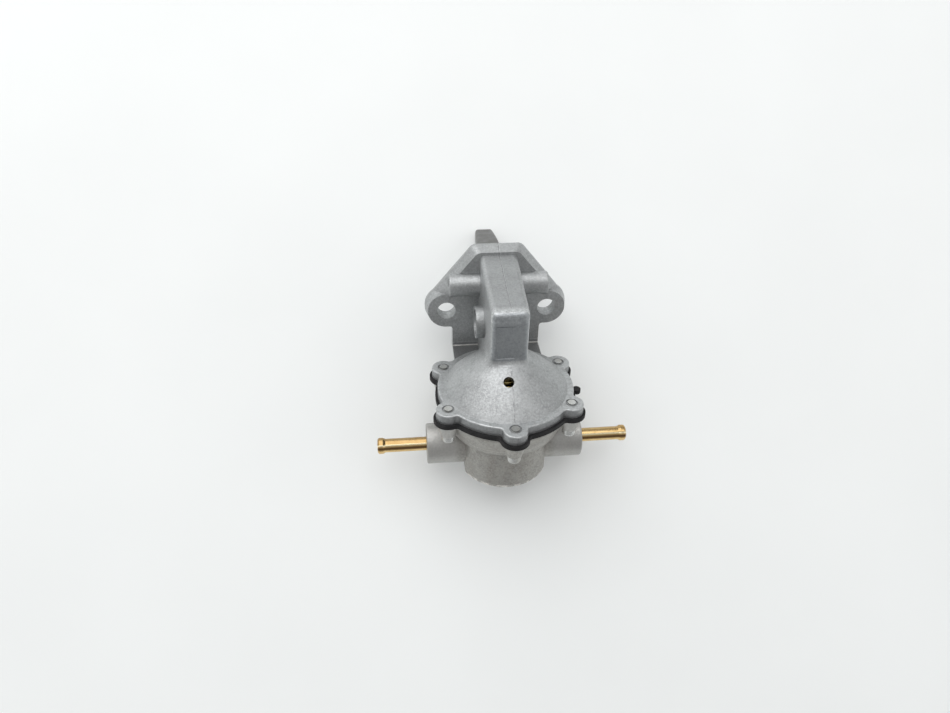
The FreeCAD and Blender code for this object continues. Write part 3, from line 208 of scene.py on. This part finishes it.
class Finish:
    """A material under construction: object coordinates, noises, mixes and the shader's sockets."""

    def __init__(self, name):
        self.material = bpy.data.materials.new(name)
        self.material.use_nodes = True
        self.tree = self.material.node_tree
        self.shader = self.tree.nodes["Principled BSDF"]
        self.surface = self.tree.nodes["Material Output"].inputs["Surface"]
        self.place = self.node("ShaderNodeTexCoord", {}, out="Object")

    def noise(self, scale, detail, roughness, place=None):
        return self.node("ShaderNodeTexNoise", {}, Vector=place or self.place, Scale=scale,
                         Detail=detail, Roughness=roughness)

    def node(self, kind, settings, *values, out=0, **named):
        return add_node(self.tree, kind, settings, *values, out=out, **named)

    def span(self, value, low, high, to_low=0.0, to_high=1.0):
        """The value stretched from low and high to the other two numbers, and held there."""
        return self.node("ShaderNodeMapRange", {"clamp": True}, value, low, high, to_low, to_high)

    def mix(self, factor, first, second):
        """Both colours mixed: the first where the factor is 0, the second where it is 1."""
        colours = [part if isinstance(part, Wire) else (*part, 1.0) for part in (first, second)]
        number_sockets = [None] * 5
        return self.node(
            "ShaderNodeMix", {"data_type": "RGBA"}, factor, *number_sockets, *colours, out=2)

    def axes(self):
        """The three object coordinates, each on its own wire."""
        across = self.node("ShaderNodeSeparateXYZ", {}, self.place)
        return [Wire(self.tree, output) for output in across.socket.node.outputs]

    def stretched(self, *scale):
        """Object coordinates scaled along each axis, for grain that runs one way."""
        return self.node("ShaderNodeMapping", {"vector_type": "POINT"}, self.place, Scale=scale)

    def bump(self, height, strength, distance):
        return self.node("ShaderNodeBump", {}, strength, distance, Height=height)

    def set(self, **sockets):
        """Give the shader these values or links, with _ for a space in a socket's name."""
        for name, value in sockets.items():
            plug(self.tree, self.shader.inputs[name.replace("_", " ")], value)
        return self.material


def put_on(material, *names):
    """Give the CAD pieces of these names the material in every slot."""
    for name in names:
        piece = NODES[name]
        if not piece.data.materials:
            piece.data.materials.append(material)
        for slot in piece.material_slots:
            slot.material = material


def line_at(finish, value, place, half, soft):
    """1 within half of the place, falling to 0 over the soft width."""
    return finish.span(abs(value - place), half, half + soft, 1.0, 0.0)


def between(finish, value, low, high, soft):
    """1 between the two places, with soft ends."""
    return finish.span(value, low, low + soft) * finish.span(value, high - soft, high, 1.0, 0.0)


def toned(colour, factor):
    """The colour made lighter or darker by the factor, with no part above 1."""
    return tuple(min(1.0, part * factor) for part in colour)


class Casting:
    """The material of a die casting while marks are laid on its skin, one after the other."""

    def __init__(self, name, colour):
        self.finish = Finish(name)
        self.x, self.y, self.z = self.finish.axes()
        # A lighter tone, used for painted highlights and for the milled face.
        self.bright = toned(colour, 1.7)
        self.relief = None
        self.lay_skin(colour)

    def lay_skin(self, colour):
        """Blotches, stains, grain with painted glints, and pores of the dull metal."""
        finish = self.finish
        blotches = finish.noise(75.0, 4.0, 0.62)
        stains = finish.noise(210.0, 5.0, 0.7)
        grain = finish.noise(1100.0, 3.0, 0.62)
        pores = finish.noise(3400.0, 1.0, 0.5)
        pale = toned(colour, 1.22)
        glint = toned(colour, 1.34)
        dark = toned(colour, 0.72)
        self.base = finish.mix(finish.span(blotches, 0.34, 0.66), colour, pale)
        self.paint(finish.span(stains, 0.50, 0.72) * 0.55, dark)
        # Painted glints: lighter specks on the grain that stand in for sparkling highlights.
        self.paint(finish.span(grain, 0.53, 0.62) * 0.6, glint)
        self.paint(finish.span(grain, 0.36, 0.46, 0.32, 0.0), dark)
        self.paint(finish.span(pores, 0.68, 0.78) * 0.55, dark)
        shine = finish.span(grain, 0.35, 0.7, 0.07, -0.10)
        self.roughness = finish.span(blotches, 0.3, 0.7, 0.41, 0.51) + shine
        self.height = stains * 0.35 + grain * 0.45 + pores * 0.2

    def paint(self, mask, colour):
        """Put the colour where the mask is 1."""
        self.base = self.finish.mix(mask, self.base, colour)

    def lift(self, mask, amount):
        """Raise the surface where the mask is 1, or sink it with a negative amount."""
        step = mask * amount
        self.relief = step if self.relief is None else self.relief + step

    def patches(self, scale, detail, roughness, low, high):
        """A noise made into patches, so that a mark looks broken or worn."""
        return self.finish.span(self.finish.noise(scale, detail, roughness), low, high)

    def material(self, strength):
        """The finished material, its relief shown with this strength."""
        bump = self.finish.bump(self.height + self.relief, strength, SKIN_DEPTH)
        return self.finish.set(
            Base_Color=self.base, Metallic=0.92, Roughness=self.roughness, Normal=bump)


def on_tower_front(casting):
    """1 on the flat front of the tower and ahead of it."""
    return casting.finish.span(casting.y, TOWER_FACE - 0.6 * MM, TOWER_FACE, 1.0, 0.0)


def tower_front_mask(casting):
    """1 on the tower's front from its foot up."""
    finish = casting.finish
    above_foot = finish.span(casting.z, TOWER_FOOT, TOWER_FOOT + 0.6 * MM)
    inside = finish.span(abs(casting.x), TOWER_SIDE, TOWER_SIDE + 1.0 * MM, 1.0, 0.0)
    return on_tower_front(casting) * above_foot * inside


def lay_seam(casting, tower_front):
    """The dark parting line of the mould, which wanders, and the raised burr beside it with a
    painted highlight.
    """
    finish = casting.finish
    wander = (finish.noise(260.0, 3.0, 0.6) - 0.5) * (1.1 * MM)
    aside = casting.x + wander
    shown = casting.patches(420.0, 2.0, 0.5, 0.34, 0.48) * (1.0 - tower_front)
    seam = line_at(finish, aside, 0.3 * MM, 0.08 * MM, 0.10 * MM) * shown
    burr_and_highlight = line_at(finish, aside, 0.62 * MM, 0.10 * MM, 0.16 * MM) * shown
    # Painted highlight: the burr beside the parting line is painted brighter, and it is also
    # raised.
    casting.paint(burr_and_highlight * finish.span(casting.z, -3.0 * MM, 3.0 * MM) * 0.6, casting.bright)
    behind_dome = finish.span(casting.y, DOME_FRONT, DOME_FRONT + 2.0 * MM, 0.45, 0.60)
    casting.paint(seam * behind_dome, SEAM_SHADE)
    casting.lift(burr_and_highlight, 0.35)


def lay_deck_and_web(casting):
    """Painted shade on the deck behind the dome, and a painted highlight along the edge of the web
    where it meets the flange.
    """
    finish = casting.finish
    # Painted shade: the deck sits in the flange's shadow, so its colour is darkened.
    deck = line_at(finish, casting.z, WEB_TOP - 0.3 * MM, 0.5 * MM, 0.2 * MM)
    deck = deck * finish.span(casting.y, DECK_FRONT, DECK_FRONT + 2.0 * MM)
    casting.paint(deck * 0.55, DECK_PAINTED_SHADE)
    # Painted highlight along the web's edge at the flange, which is also raised a little.
    web = line_at(finish, casting.z, WEB_TOP, 0.3 * MM, 0.14 * MM)
    web = web * line_at(finish, casting.y, FLANGE_FRONT, 0.22 * MM, 0.12 * MM)
    casting.paint(web, WEB_EDGE_HIGHLIGHT)
    casting.lift(web, 0.8)


def lay_rim(casting):
    """Painted shade on the side of the lobed rim, and painted highlights along its upper and lower
    edges, broken up in patches.
    """
    finish = casting.finish
    top_edge = line_at(finish, casting.z, RIM_TOP - 0.3 * MM, 0.25 * MM, 0.2 * MM)
    foot_edge = line_at(finish, casting.z, CLAMP_FACE + 0.15 * MM, 0.14 * MM, 0.18 * MM)
    edge_highlight = (top_edge + foot_edge).clamped() * casting.patches(700.0, 3.0, 0.6, 0.34, 0.56)
    side = between(finish, casting.z, CLAMP_FACE + 0.3 * MM, RIM_TOP - 0.5 * MM, 0.3 * MM)
    # Painted shade on the rim's side, and painted highlights on its edges, which are also a little
    # smoother.
    casting.paint(side * 0.4, RIM_SIDE_PAINTED_SHADE)
    casting.paint(edge_highlight * 0.55, casting.bright)
    casting.roughness = casting.roughness - edge_highlight * 0.06


def lay_tower_edges(casting):
    """Painted highlights on the brow and cheeks round the tower's front, broken up in patches."""
    finish = casting.finish
    face = TOWER_FACE
    brow = finish.span(casting.z, TOWER_BROW, TOWER_BROW + 1.5 * MM)
    brow = brow * finish.span(casting.y, face + 1.2 * MM, face + 2.8 * MM, 1.0, 0.0)
    cheeks = finish.span(abs(casting.x), TOWER_SIDE - 1.0 * MM, TOWER_SIDE + 0.2 * MM)
    cheeks = cheeks * finish.span(casting.y, face - 0.5 * MM, face + 1.0 * MM, 1.0, 0.0)
    # Painted highlight where the rounded brow and cheeks would catch the light.
    edge_highlight = (brow + cheeks * 0.6).clamped() * casting.patches(900.0, 3.0, 0.65, 0.38, 0.60)
    casting.paint(edge_highlight * finish.span(casting.z, 0.6 * MM, 2.4 * MM), casting.bright)


def lay_screw_rings(casting):
    """Painted shade in the recess round each of the six screw tips."""
    finish = casting.finish
    back = casting.y - MIDDLE.y
    reach = (casting.x * casting.x + back * back) ** 0.5
    sector = math.radians(60.0)
    turn = back.math("ARCTAN2", back, casting.x) + math.radians(360.0)
    turn = turn.math("MODULO", turn, sector) - sector * 0.5
    away = turn.math("COSINE", abs(turn))
    square = reach * reach + SCREW_CIRCLE ** 2 - away * reach * (2.0 * SCREW_CIRCLE)
    gap = square.at_least(0.0) ** 0.5
    ring = line_at(finish, gap, SCREW_RING, 0.35 * MM, 0.15 * MM)
    ring = ring * finish.span(casting.z, RIM_TOP - 0.6 * MM, RIM_TOP - 0.5 * MM)
    ring = ring * finish.span(casting.z, RIM_TOP + 0.3 * MM, RIM_TOP + 0.4 * MM, 1.0, 0.0)
    # Painted shade in the recess round the screw.
    casting.paint(ring * 0.55, RECESS_PAINTED_SHADE)


def lay_tower_foot(casting):
    """A painted highlight along the crease where the tower's front runs into the dome."""
    finish = casting.finish
    foot = line_at(finish, casting.y, DOME_FRONT - 0.3 * MM, 0.25 * MM, 0.3 * MM)
    foot = foot * line_at(finish, casting.z, TOWER_FOOT - 0.5 * MM, 0.8 * MM, 0.4 * MM)
    foot = foot * line_at(finish, casting.x, 0.0, 5.6 * MM, 1.6 * MM)
    # Painted highlight along the fillet, which is also raised a little.
    casting.paint(foot * 0.9, casting.bright)
    casting.lift(foot, 0.5)


def lay_milled_face(casting):
    """The mounting face, milled flat, with cuts that run across it."""
    finish = casting.finish
    milled = finish.span(casting.y, -0.12 * MM, -0.04 * MM)
    cuts = finish.noise(1500.0, 2.0, 0.5, finish.stretched(0.04, 1.0, 1.4))
    casting.paint(milled * finish.span(cuts, 0.40, 0.60, 0.35, 0.75), casting.bright)
    casting.height = casting.height * (1.0 - milled * 0.9) + milled * cuts * 0.5
    casting.roughness = casting.roughness - milled * 0.12


def lay_tower_faces(casting, tower_front):
    """Painted shade on the front of the tower with its plain panel, and the top painted darker."""
    finish = casting.finish
    # Painted shade on the front of the tower, which faces away from the light.
    casting.paint(tower_front * 0.45, TOWER_FRONT_PAINTED_SHADE)
    panel = between(finish, casting.x, *PANEL_ACROSS, 0.25 * MM)
    panel = panel * between(finish, casting.z, *PANEL_UP, 0.3 * MM) * on_tower_front(casting)
    casting.lift(panel, -0.9)
    top = finish.span(casting.z, 15.0 * MM, 18.0 * MM)
    top = top * finish.span(abs(casting.x), TOWER_SIDE - 0.6 * MM, TOWER_SIDE, 1.0, 0.0)
    top = top * between(finish, casting.y, -46.0 * MM, -9.0 * MM, 1.0 * MM)
    # The top of the tower is painted darker.
    casting.paint(top * 0.35, TOWER_TOP_SHADE)


def lay_pits(casting):
    """A few casting pits at the end of the pin boss, sunk a little, with painted shade in them."""
    finish = casting.finish
    pit = line_at(finish, casting.x, PIN_BOSS_END, 0.9 * MM, 0.8 * MM)
    pit = pit * finish.span(casting.z, 13.5 * MM, 15.0 * MM)
    pit = pit * casting.patches(800.0, 2.0, 0.5, 0.56, 0.62)
    # Painted shade in the pits.
    casting.paint(pit * 0.5, RECESS_PAINTED_SHADE)
    casting.lift(pit, -0.4)


def housing_metal(colour):
    """Metal of the rocker housing, with the marks that its mould left, and painted shade and
    highlights.
    """
    casting = Casting("housing metal", colour)
    tower_front = tower_front_mask(casting)
    lay_seam(casting, tower_front)
    lay_deck_and_web(casting)
    lay_rim(casting)
    lay_tower_edges(casting)
    lay_screw_rings(casting)
    lay_tower_foot(casting)
    lay_milled_face(casting)
    lay_tower_faces(casting, tower_front)
    lay_pits(casting)
    return casting.material(0.75)


def bowl_metal(colour):
    """Metal of the lower body: flow marks, a step and a rim line with painted highlights, painted
    light on the hose bosses, and a ragged lower edge with a painted highlight.
    """
    casting = Casting("bowl metal", colour)
    finish = casting.finish
    wander = (finish.noise(90.0, 2.0, 0.5) - 0.5) * MM
    step = line_at(finish, casting.z + wander, BOWL_STEP, 0.12 * MM, 0.2 * MM)
    flow = finish.noise(140.0, 4.0, 0.65, finish.stretched(1.0, 1.0, 0.25))
    casting.paint(finish.span(flow, 0.45, 0.7) * 0.35, FLOW_SHADE)
    # Painted light on the hose bosses, against the shadow of the flare above them.
    hose_boss_light = finish.span(abs(casting.x), HOSE_BOSS_START, HOSE_BOSS_FULL, 0.0, 0.5)
    casting.paint(hose_boss_light, HOSE_BOSS_PAINTED_LIGHT)
    burr_and_highlight = line_at(finish, casting.z, BOWL_BASE + 1.2 * MM, 0.5 * MM, 0.5 * MM)
    burr_and_highlight = burr_and_highlight * casting.patches(330.0, 3.0, 0.6, 0.42, 0.60)
    rim = line_at(finish, casting.z, CLAMP_FACE - 2.0 * MM, 0.25 * MM, 0.3 * MM)
    # Painted highlights along the raised step and along the line under the rim.
    casting.paint((step * 0.4 + rim * 0.3).clamped(), casting.bright)
    # Painted highlight on the ragged burr, which is also raised.
    casting.paint(burr_and_highlight, BURR_HIGHLIGHT)
    casting.lift(step, 0.8)
    casting.lift(burr_and_highlight, 0.8)
    return casting.material(0.65)


def rubber(name, colour, edge_highlight):
    """Matt rubber with faint layers along its edge."""
    finish = Finish(name)
    broad = finish.noise(160.0, 4.0, 0.6)
    fine = finish.noise(2400.0, 2.0, 0.5)
    layers = finish.noise(800.0, 2.0, 0.5, finish.stretched(0.3, 0.3, 3.0))
    base = finish.mix(finish.span(broad, 0.42, 0.7), colour, edge_highlight)
    base = finish.mix(finish.span(layers, 0.55, 0.7) * 0.4, base, edge_highlight)
    rough = finish.span(fine, 0.3, 0.7, 0.55, 0.72)
    relief = finish.bump(fine * 0.6 + layers * 0.4, 0.3, 0.15 * MM)
    return finish.set(Base_Color=base, Roughness=rough, Specular_IOR_Level=0.3, Normal=relief)


def turned_brass(name, colour, tint, roughness):
    """Brass with the faint rings of a lathe along the tube, patches of tarnish, and painted
    reflections: a dark band below the middle, a darker top and a bright highlight line.
    """
    finish = Finish(name)
    rings = finish.noise(900.0, 2.0, 0.5, finish.stretched(2.2, 0.05, 0.05))
    tarnish = finish.noise(230.0, 5.0, 0.65)
    specks = finish.noise(2600.0, 2.0, 0.5)
    base = finish.mix(finish.span(tarnish, 0.42, 0.68), colour, tint)
    base = finish.mix(finish.span(specks, 0.7, 0.78) * 0.5, base, BRASS_SPECK)
    x, y, z = finish.axes()
    height = (y - MIDDLE.y) * PICTURE_UP.y + (z - NIPPLE_AXIS) * PICTURE_UP.z
    # Painted reflections across the tube: a dark band below the middle, a darker top and a bright
    # highlight line.
    belly = between(finish, height, -2.3 * MM, -0.15 * MM, 0.8 * MM)
    crown = finish.span(height, 0.5 * MM, 0.9 * MM)
    crown = crown * finish.span(x, -5.0 * MM, 5.0 * MM, 0.68, 0.40)
    highlight_line = line_at(finish, height, 0.32 * MM, 0.16 * MM, 0.3 * MM)
    base = finish.mix(belly * 0.92, base, BRASS_DARK_REFLECTION)
    base = finish.mix(crown, base, BRASS_TOP_REFLECTION)
    base = finish.mix(highlight_line * 0.9, base, BRASS_HIGHLIGHT_LINE)
    rough = finish.span(tarnish, 0.3, 0.7, roughness - 0.04, roughness + 0.08)
    relief = finish.bump(rings * 0.8 + specks * 0.2, 0.16, 0.12 * MM)
    return finish.set(Base_Color=base, Metallic=1.0, Roughness=rough, Normal=relief)


def steel(name, colour, tint, roughness, grain=0.15):
    """Steel with cloudy tints and fine specks."""
    finish = Finish(name)
    broad = finish.noise(220.0, 4.0, 0.65)
    fine = finish.noise(3000.0, 2.0, 0.5)
    specks = finish.noise(1300.0, 3.0, 0.6)
    base = finish.mix(finish.span(broad, 0.4, 0.68), colour, tint)
    base = finish.mix(finish.span(specks, 0.62, 0.72) * 0.3, base, toned(tint, 0.6))
    rough = finish.span(broad, 0.3, 0.7, roughness - 0.05, roughness + 0.08)
    relief = finish.bump(fine * 0.5 + specks * 0.5, grain, 0.2 * MM)
    return finish.set(Base_Color=base, Metallic=0.95, Roughness=rough, Normal=relief)


def colour_property(name, description, default):
    return bpy.props.FloatVectorProperty(
        name=name, description=description, default=default,
        subtype="COLOR", size=3, min=0.0, max=1.0)


class PumpColours(bpy.types.PropertyGroup):
    """Colours of the castings, the rubber, the brass and the table."""

    casting: colour_property("Castings", "Bare die-cast aluminium", (0.375, 0.385, 0.388))
    bowl: colour_property("Bowl", "Lower casting, darker and warmer", (0.345, 0.338, 0.318))
    rubber: colour_property("Diaphragm", "Rubber edge", (0.006, 0.006, 0.007))
    brass: colour_property("Brass", "Hose nipples", (0.80, 0.59, 0.29))
    table: colour_property("Table", "Pale table", (0.925, 0.945, 0.940))


class PumpSizes(bpy.types.PropertyGroup):
    """The camera's lens and how strong the lights are."""

    lens: bpy.props.FloatProperty(
        name="Lens", description="Focal length on a 36 mm sensor",
        default=27.84, min=1.0, unit="CAMERA")
    window: bpy.props.FloatProperty(
        name="Window", description="Power of the large soft lamp",
        default=22.4, min=0.0, unit="POWER")
    fill: bpy.props.FloatProperty(
        name="Fill", description="Power of the right lamp, and nearly that of the left one",
        default=3.7, min=0.0, unit="POWER")
    room: bpy.props.FloatProperty(
        name="Room", description="Strength of the light from all round",
        default=0.435, min=0.0)


class PUMP_OT_castings(bpy.types.Operator):
    """Give the two castings their bare metal"""

    bl_idname = "pump.castings"
    bl_label = "Castings"

    def execute(self, context):
        colours = context.scene.pump_colours
        put_on(housing_metal(tuple(colours.casting)), "rocker_housing")
        put_on(bowl_metal(tuple(colours.bowl)), "lower_body")
        return {"FINISHED"}


class PUMP_OT_rubber(bpy.types.Operator):
    """Give the diaphragm, the seals and the flaps their rubber"""

    bl_idname = "pump.rubber"
    bl_label = "Rubber"

    def execute(self, context):
        colours = context.scene.pump_colours
        edge = rubber("diaphragm rubber", tuple(colours.rubber), (0.022, 0.020, 0.021))
        seal = rubber("seal rubber", (0.015, 0.015, 0.015), (0.03, 0.03, 0.03))
        valve = rubber("valve rubber", (0.02, 0.016, 0.014), (0.04, 0.035, 0.03))
        put_on(edge, "diaphragm")
        put_on(seal, "rod_seal")
        put_on(valve, "inlet_valve_disc", "outlet_valve_disc",
               "inlet_valve_gasket", "outlet_valve_gasket")
        return {"FINISHED"}


class PUMP_OT_brass(bpy.types.Operator):
    """Give the hose nipples and the valve cages their brass"""

    bl_idname = "pump.brass"
    bl_label = "Brass"

    def execute(self, context):
        colours = context.scene.pump_colours
        nipple = turned_brass("nipple brass", tuple(colours.brass), (0.66, 0.44, 0.18), 0.23)
        valve = turned_brass("valve brass", (0.66, 0.46, 0.16), (0.5, 0.34, 0.12), 0.32)
        put_on(nipple, "inlet_nipple", "outlet_nipple")
        put_on(valve, "inlet_valve_cage", "outlet_valve_cage")
        return {"FINISHED"}


class PUMP_OT_steel(bpy.types.Operator):
    """Give the arm, the levers, the springs and the screws their steel"""

    bl_idname = "pump.steel"
    bl_label = "Steel"

    def execute(self, context):
        forged = steel("forged steel", (0.215, 0.215, 0.212), (0.19, 0.188, 0.184), 0.46, 0.12)
        pressed = steel("pressed steel", (0.30, 0.29, 0.27), (0.2, 0.18, 0.15), 0.4)
        ground = steel("ground steel", (0.55, 0.55, 0.56), (0.40, 0.38, 0.36), 0.25)
        plated = steel("plated steel", (0.62, 0.54, 0.32), (0.5, 0.4, 0.2), 0.35)
        wire = steel("spring wire", (0.66, 0.52, 0.22), (0.45, 0.36, 0.16), 0.3)
        screws = steel("zinc screws", (0.62, 0.63, 0.62), (0.42, 0.41, 0.38), 0.28)
        put_on(forged, "rocker_arm")
        put_on(pressed, "link_lever")
        put_on(ground, "rocker_pin", "pull_rod")
        put_on(plated, "upper_diaphragm_plate", "lower_diaphragm_plate",
               "seal_retainer", "pin_washers")
        put_on(wire, "diaphragm_spring", "rocker_spring",
               "inlet_valve_spring", "outlet_valve_spring")
        put_on(screws, "body_screws", "screw_washers")
        return {"FINISHED"}


def lowest_along(normal):
    """The least distance of any piece along the normal: where a table would touch."""
    return min(
        normal.dot(piece.matrix_world @ vertex.co)
        for piece in NODES.values()
        for vertex in piece.data.vertices)


def open_from_below(finish):
    """Let a camera below the table look through it, so that the pump shows from every side."""
    below = finish.node("ShaderNodeNewGeometry", {}, out="Backfacing")
    seen = finish.node("ShaderNodeLightPath", {}, out="Is Camera Ray")
    clear = finish.node("ShaderNodeBsdfTransparent", {})
    shader = Wire(finish.tree, finish.shader.outputs[0])
    mixed = finish.node("ShaderNodeMixShader", {}, below * seen, shader, clear)
    plug(finish.tree, finish.surface, mixed)


def lay_table(scene):
    """The pale table, as high as the lowest point of the pump."""
    mesh = bpy.data.meshes.new("table")
    grid = bmesh.new()
    bmesh.ops.create_grid(grid, x_segments=1, y_segments=1, size=TABLE_SIZE)
    turn = TABLE_NORMAL.to_track_quat("Z", "Y").to_matrix().to_4x4()
    drop = lowest_along(TABLE_NORMAL) - TABLE_NORMAL.dot(MIDDLE)
    place = Matrix.Translation(MIDDLE + TABLE_NORMAL * drop)
    bmesh.ops.transform(grid, matrix=place @ turn, verts=grid.verts)
    grid.to_mesh(mesh)
    grid.free()
    table = bpy.data.objects.new("table", mesh)
    scene.collection.objects.link(table)
    finish = Finish("table")
    colour = tuple(scene.pump_colours.table)
    cloud = finish.noise(9.0, 3.0, 0.5)
    shade = toned(colour, TABLE_SHADE)
    mesh.materials.append(finish.set(
        Base_Color=finish.mix(finish.span(cloud, 0.35, 0.65), colour, shade), Roughness=0.7))
    open_from_below(finish)


def hang_lamp(scene, name, power, rise, side, size):
    """An area lamp over the table; side is 0 at the picture's top and grows to the right."""
    top = (CAMERA_UP - TABLE_NORMAL * CAMERA_UP.dot(TABLE_NORMAL)).normalized()
    right = top.cross(TABLE_NORMAL)
    around = top * math.cos(math.radians(side)) + right * math.sin(math.radians(side))
    toward = around * math.cos(math.radians(rise)) + TABLE_NORMAL * math.sin(math.radians(rise))
    data = bpy.data.lights.new(name, "AREA")
    data.shape = "RECTANGLE"
    data.size, data.size_y = size
    data.energy = power
    lamp = bpy.data.objects.new(name, data)
    scene.collection.objects.link(lamp)
    lamp.location = MIDDLE + toward * LAMP_DISTANCE
    lamp.rotation_euler = toward.to_track_quat("Z", "Y").to_euler()


def light_room(scene, strength):
    """Even white light from all round."""
    world = bpy.data.worlds.new("room")
    scene.world = world
    world.use_nodes = True
    background = world.node_tree.nodes["Background"]
    background.inputs[0].default_value = (1.0, 1.0, 1.0, 1.0)
    background.inputs[1].default_value = strength


def set_camera(scene, lens):
    """The camera where the photograph was taken from."""
    data = bpy.data.cameras.new("camera")
    data.lens = lens
    data.sensor_width = SENSOR
    camera = bpy.data.objects.new("camera", data)
    scene.collection.objects.link(camera)
    turn = Matrix((CAMERA_RIGHT, CAMERA_UP, CAMERA_BACK)).transposed().to_4x4()
    camera.matrix_world = Matrix.Translation(CAMERA_PLACE) @ turn
    scene.camera = camera


def new_piece(name, mesh_data):
    """A mesh object from the bmesh, with its normals outward."""
    bmesh.ops.recalc_face_normals(mesh_data, faces=mesh_data.faces)
    mesh = bpy.data.meshes.new(name)
    mesh_data.to_mesh(mesh)
    mesh_data.free()
    piece = bpy.data.objects.new(name, mesh)
    bpy.context.scene.collection.objects.link(piece)
    return piece


def spring_between(node):
    """A copy of the coil in place of the CAD piece, its transform baked into the mesh."""
    piece = bpy.data.objects.new(node + "_coil", NODES[node].data.copy())
    bpy.context.scene.collection.objects.link(piece)
    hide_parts(node)
    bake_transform(piece)


def fold_direction(index):
    """The way out from the middle along the fold of this number."""
    turn = 2.0 * math.pi * index / FOLDS
    return Vector((math.cos(turn), math.sin(turn), 0.0))


def fold_reach(point):
    """How far a point lies out from the middle, measured square to the nearest fold's edges."""
    out = point - MIDDLE
    return max(out.dot(fold_direction(index)) for index in range(FOLDS))


def cut_sheet(name, wanted):
    """The part of the diaphragm whose faces are wanted, closed again where it is cut."""
    sheet = bmesh.new()
    sheet.from_mesh(NODES["diaphragm"].data)
    bmesh.ops.remove_doubles(sheet, verts=sheet.verts, dist=SAME_POINT)
    for index in range(FOLDS):
        for reach in (FOLD_OUTER, FOLD_INNER):
            bmesh.ops.bisect_plane(
                sheet, geom=[*sheet.verts, *sheet.edges, *sheet.faces], dist=ON_PLANE,
                plane_co=MIDDLE + fold_direction(index) * reach, plane_no=fold_direction(index))
    spare = [face for face in sheet.faces if not wanted(fold_reach(face.calc_center_median()))]
    bmesh.ops.delete(sheet, geom=spare, context="FACES")
    rims = [edge for edge in sheet.edges if edge.is_boundary]
    bmesh.ops.bridge_loops(sheet, edges=rims)
    return new_piece(name, sheet)


def fold_piece(index, low, high):
    """One of the flat folds of the sheet between the clamped rim and the plates."""
    out = fold_direction(index)
    across = Vector((-out.y, out.x, 0.0))
    spread = math.tan(math.pi / FOLDS)
    fold = bmesh.new()
    for level in (low, high):
        grid = bmesh.ops.create_grid(
            fold, x_segments=FOLD_STEPS_OUT, y_segments=FOLD_STEPS_ACROSS, size=1.0)
        for vertex in grid["verts"]:
            reach = (FOLD_INNER + FOLD_OUTER + (FOLD_OUTER - FOLD_INNER) * vertex.co.x) / 2
            place = MIDDLE + out * reach + across * (reach * spread * vertex.co.y)
            vertex.co = (place.x, place.y, level)
    bmesh.ops.bridge_loops(fold, edges=[edge for edge in fold.edges if edge.is_boundary])
    return new_piece(f"diaphragm_fold_{index + 1:02d}", fold)


class PUMP_OT_springs(bpy.types.Operator):
    """Put a copy of every coil in place of its CAD piece"""

    bl_idname = "pump.springs"
    bl_label = "Springs"

    def execute(self, context):
        for node, moving, fixed_end in SPRINGS:
            spring_between(node)
        return {"FINISHED"}


class PUMP_OT_diaphragm(bpy.types.Operator):
    """Make the diaphragm of a clamped rim, a middle on its plates, and folds between them"""

    bl_idname = "pump.diaphragm"
    bl_label = "Diaphragm"

    def execute(self, context):
        rubber_finish = NODES["diaphragm"].material_slots[0].material
        corner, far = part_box("diaphragm")
        rim = cut_sheet("diaphragm_rim", lambda reach: reach > FOLD_OUTER)
        middle = cut_sheet("diaphragm_middle", lambda reach: reach < FOLD_INNER)
        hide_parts("diaphragm")
        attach(rim, "casing")
        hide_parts("diaphragm")
        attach(middle, "pull_group")
        pieces = [rim, middle]
        for index in range(FOLDS):
            fold = fold_piece(index, corner[2], far[2])
            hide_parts("diaphragm")
            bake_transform(fold)
            pieces.append(fold)
        for piece in pieces:
            piece.data.materials.append(rubber_finish)
        return {"FINISHED"}


class PUMP_OT_stage(bpy.types.Operator):
    """Lay the pale table, hang the lamps and set the camera"""

    bl_idname = "pump.stage"
    bl_label = "Table, lamps and camera"

    def execute(self, context):
        scene = context.scene
        sizes = scene.pump_sizes
        lay_table(scene)
        light_room(scene, sizes.room)
        hang_lamp(scene, "window", sizes.window, **WINDOW_LAMP)
        hang_lamp(scene, "right fill", sizes.fill, **RIGHT_LAMP)
        hang_lamp(scene, "left fill", sizes.fill * LEFT_SHARE, **LEFT_LAMP)
        set_camera(scene, sizes.lens)
        scene.view_settings.view_transform = "Standard"
        return {"FINISHED"}


class PUMP_PT_panel(bpy.types.Panel):
    """The pump's pieces, one button each"""

    bl_label = "Fuel pump"
    bl_idname = "PUMP_PT_panel"
    bl_space_type = "VIEW_3D"
    bl_region_type = "UI"
    bl_category = "Pump"

    def draw(self, context):
        for group in (context.scene.pump_colours, context.scene.pump_sizes):
            for name in group.__annotations__:
                self.layout.prop(group, name)
        for operator in OPERATORS:
            self.layout.operator(operator.bl_idname)


OPERATORS = (PUMP_OT_castings, PUMP_OT_rubber, PUMP_OT_brass, PUMP_OT_steel,
             PUMP_OT_springs, PUMP_OT_diaphragm, PUMP_OT_stage)
CLASSES = (PumpColours, PumpSizes, *OPERATORS, PUMP_PT_panel)


def register():
    for item in CLASSES:
        bpy.utils.register_class(item)
    bpy.types.Scene.pump_colours = bpy.props.PointerProperty(type=PumpColours)
    bpy.types.Scene.pump_sizes = bpy.props.PointerProperty(type=PumpSizes)


def unregister():
    del bpy.types.Scene.pump_colours
    del bpy.types.Scene.pump_sizes
    for item in reversed(CLASSES):
        bpy.utils.unregister_class(item)


def main():
    register()
    bpy.ops.pump.castings()
    bpy.ops.pump.rubber()
    bpy.ops.pump.brass()
    bpy.ops.pump.steel()
    bpy.ops.pump.springs()
    bpy.ops.pump.diaphragm()
    bpy.ops.pump.stage()


if __name__ == "__main__":
    main()
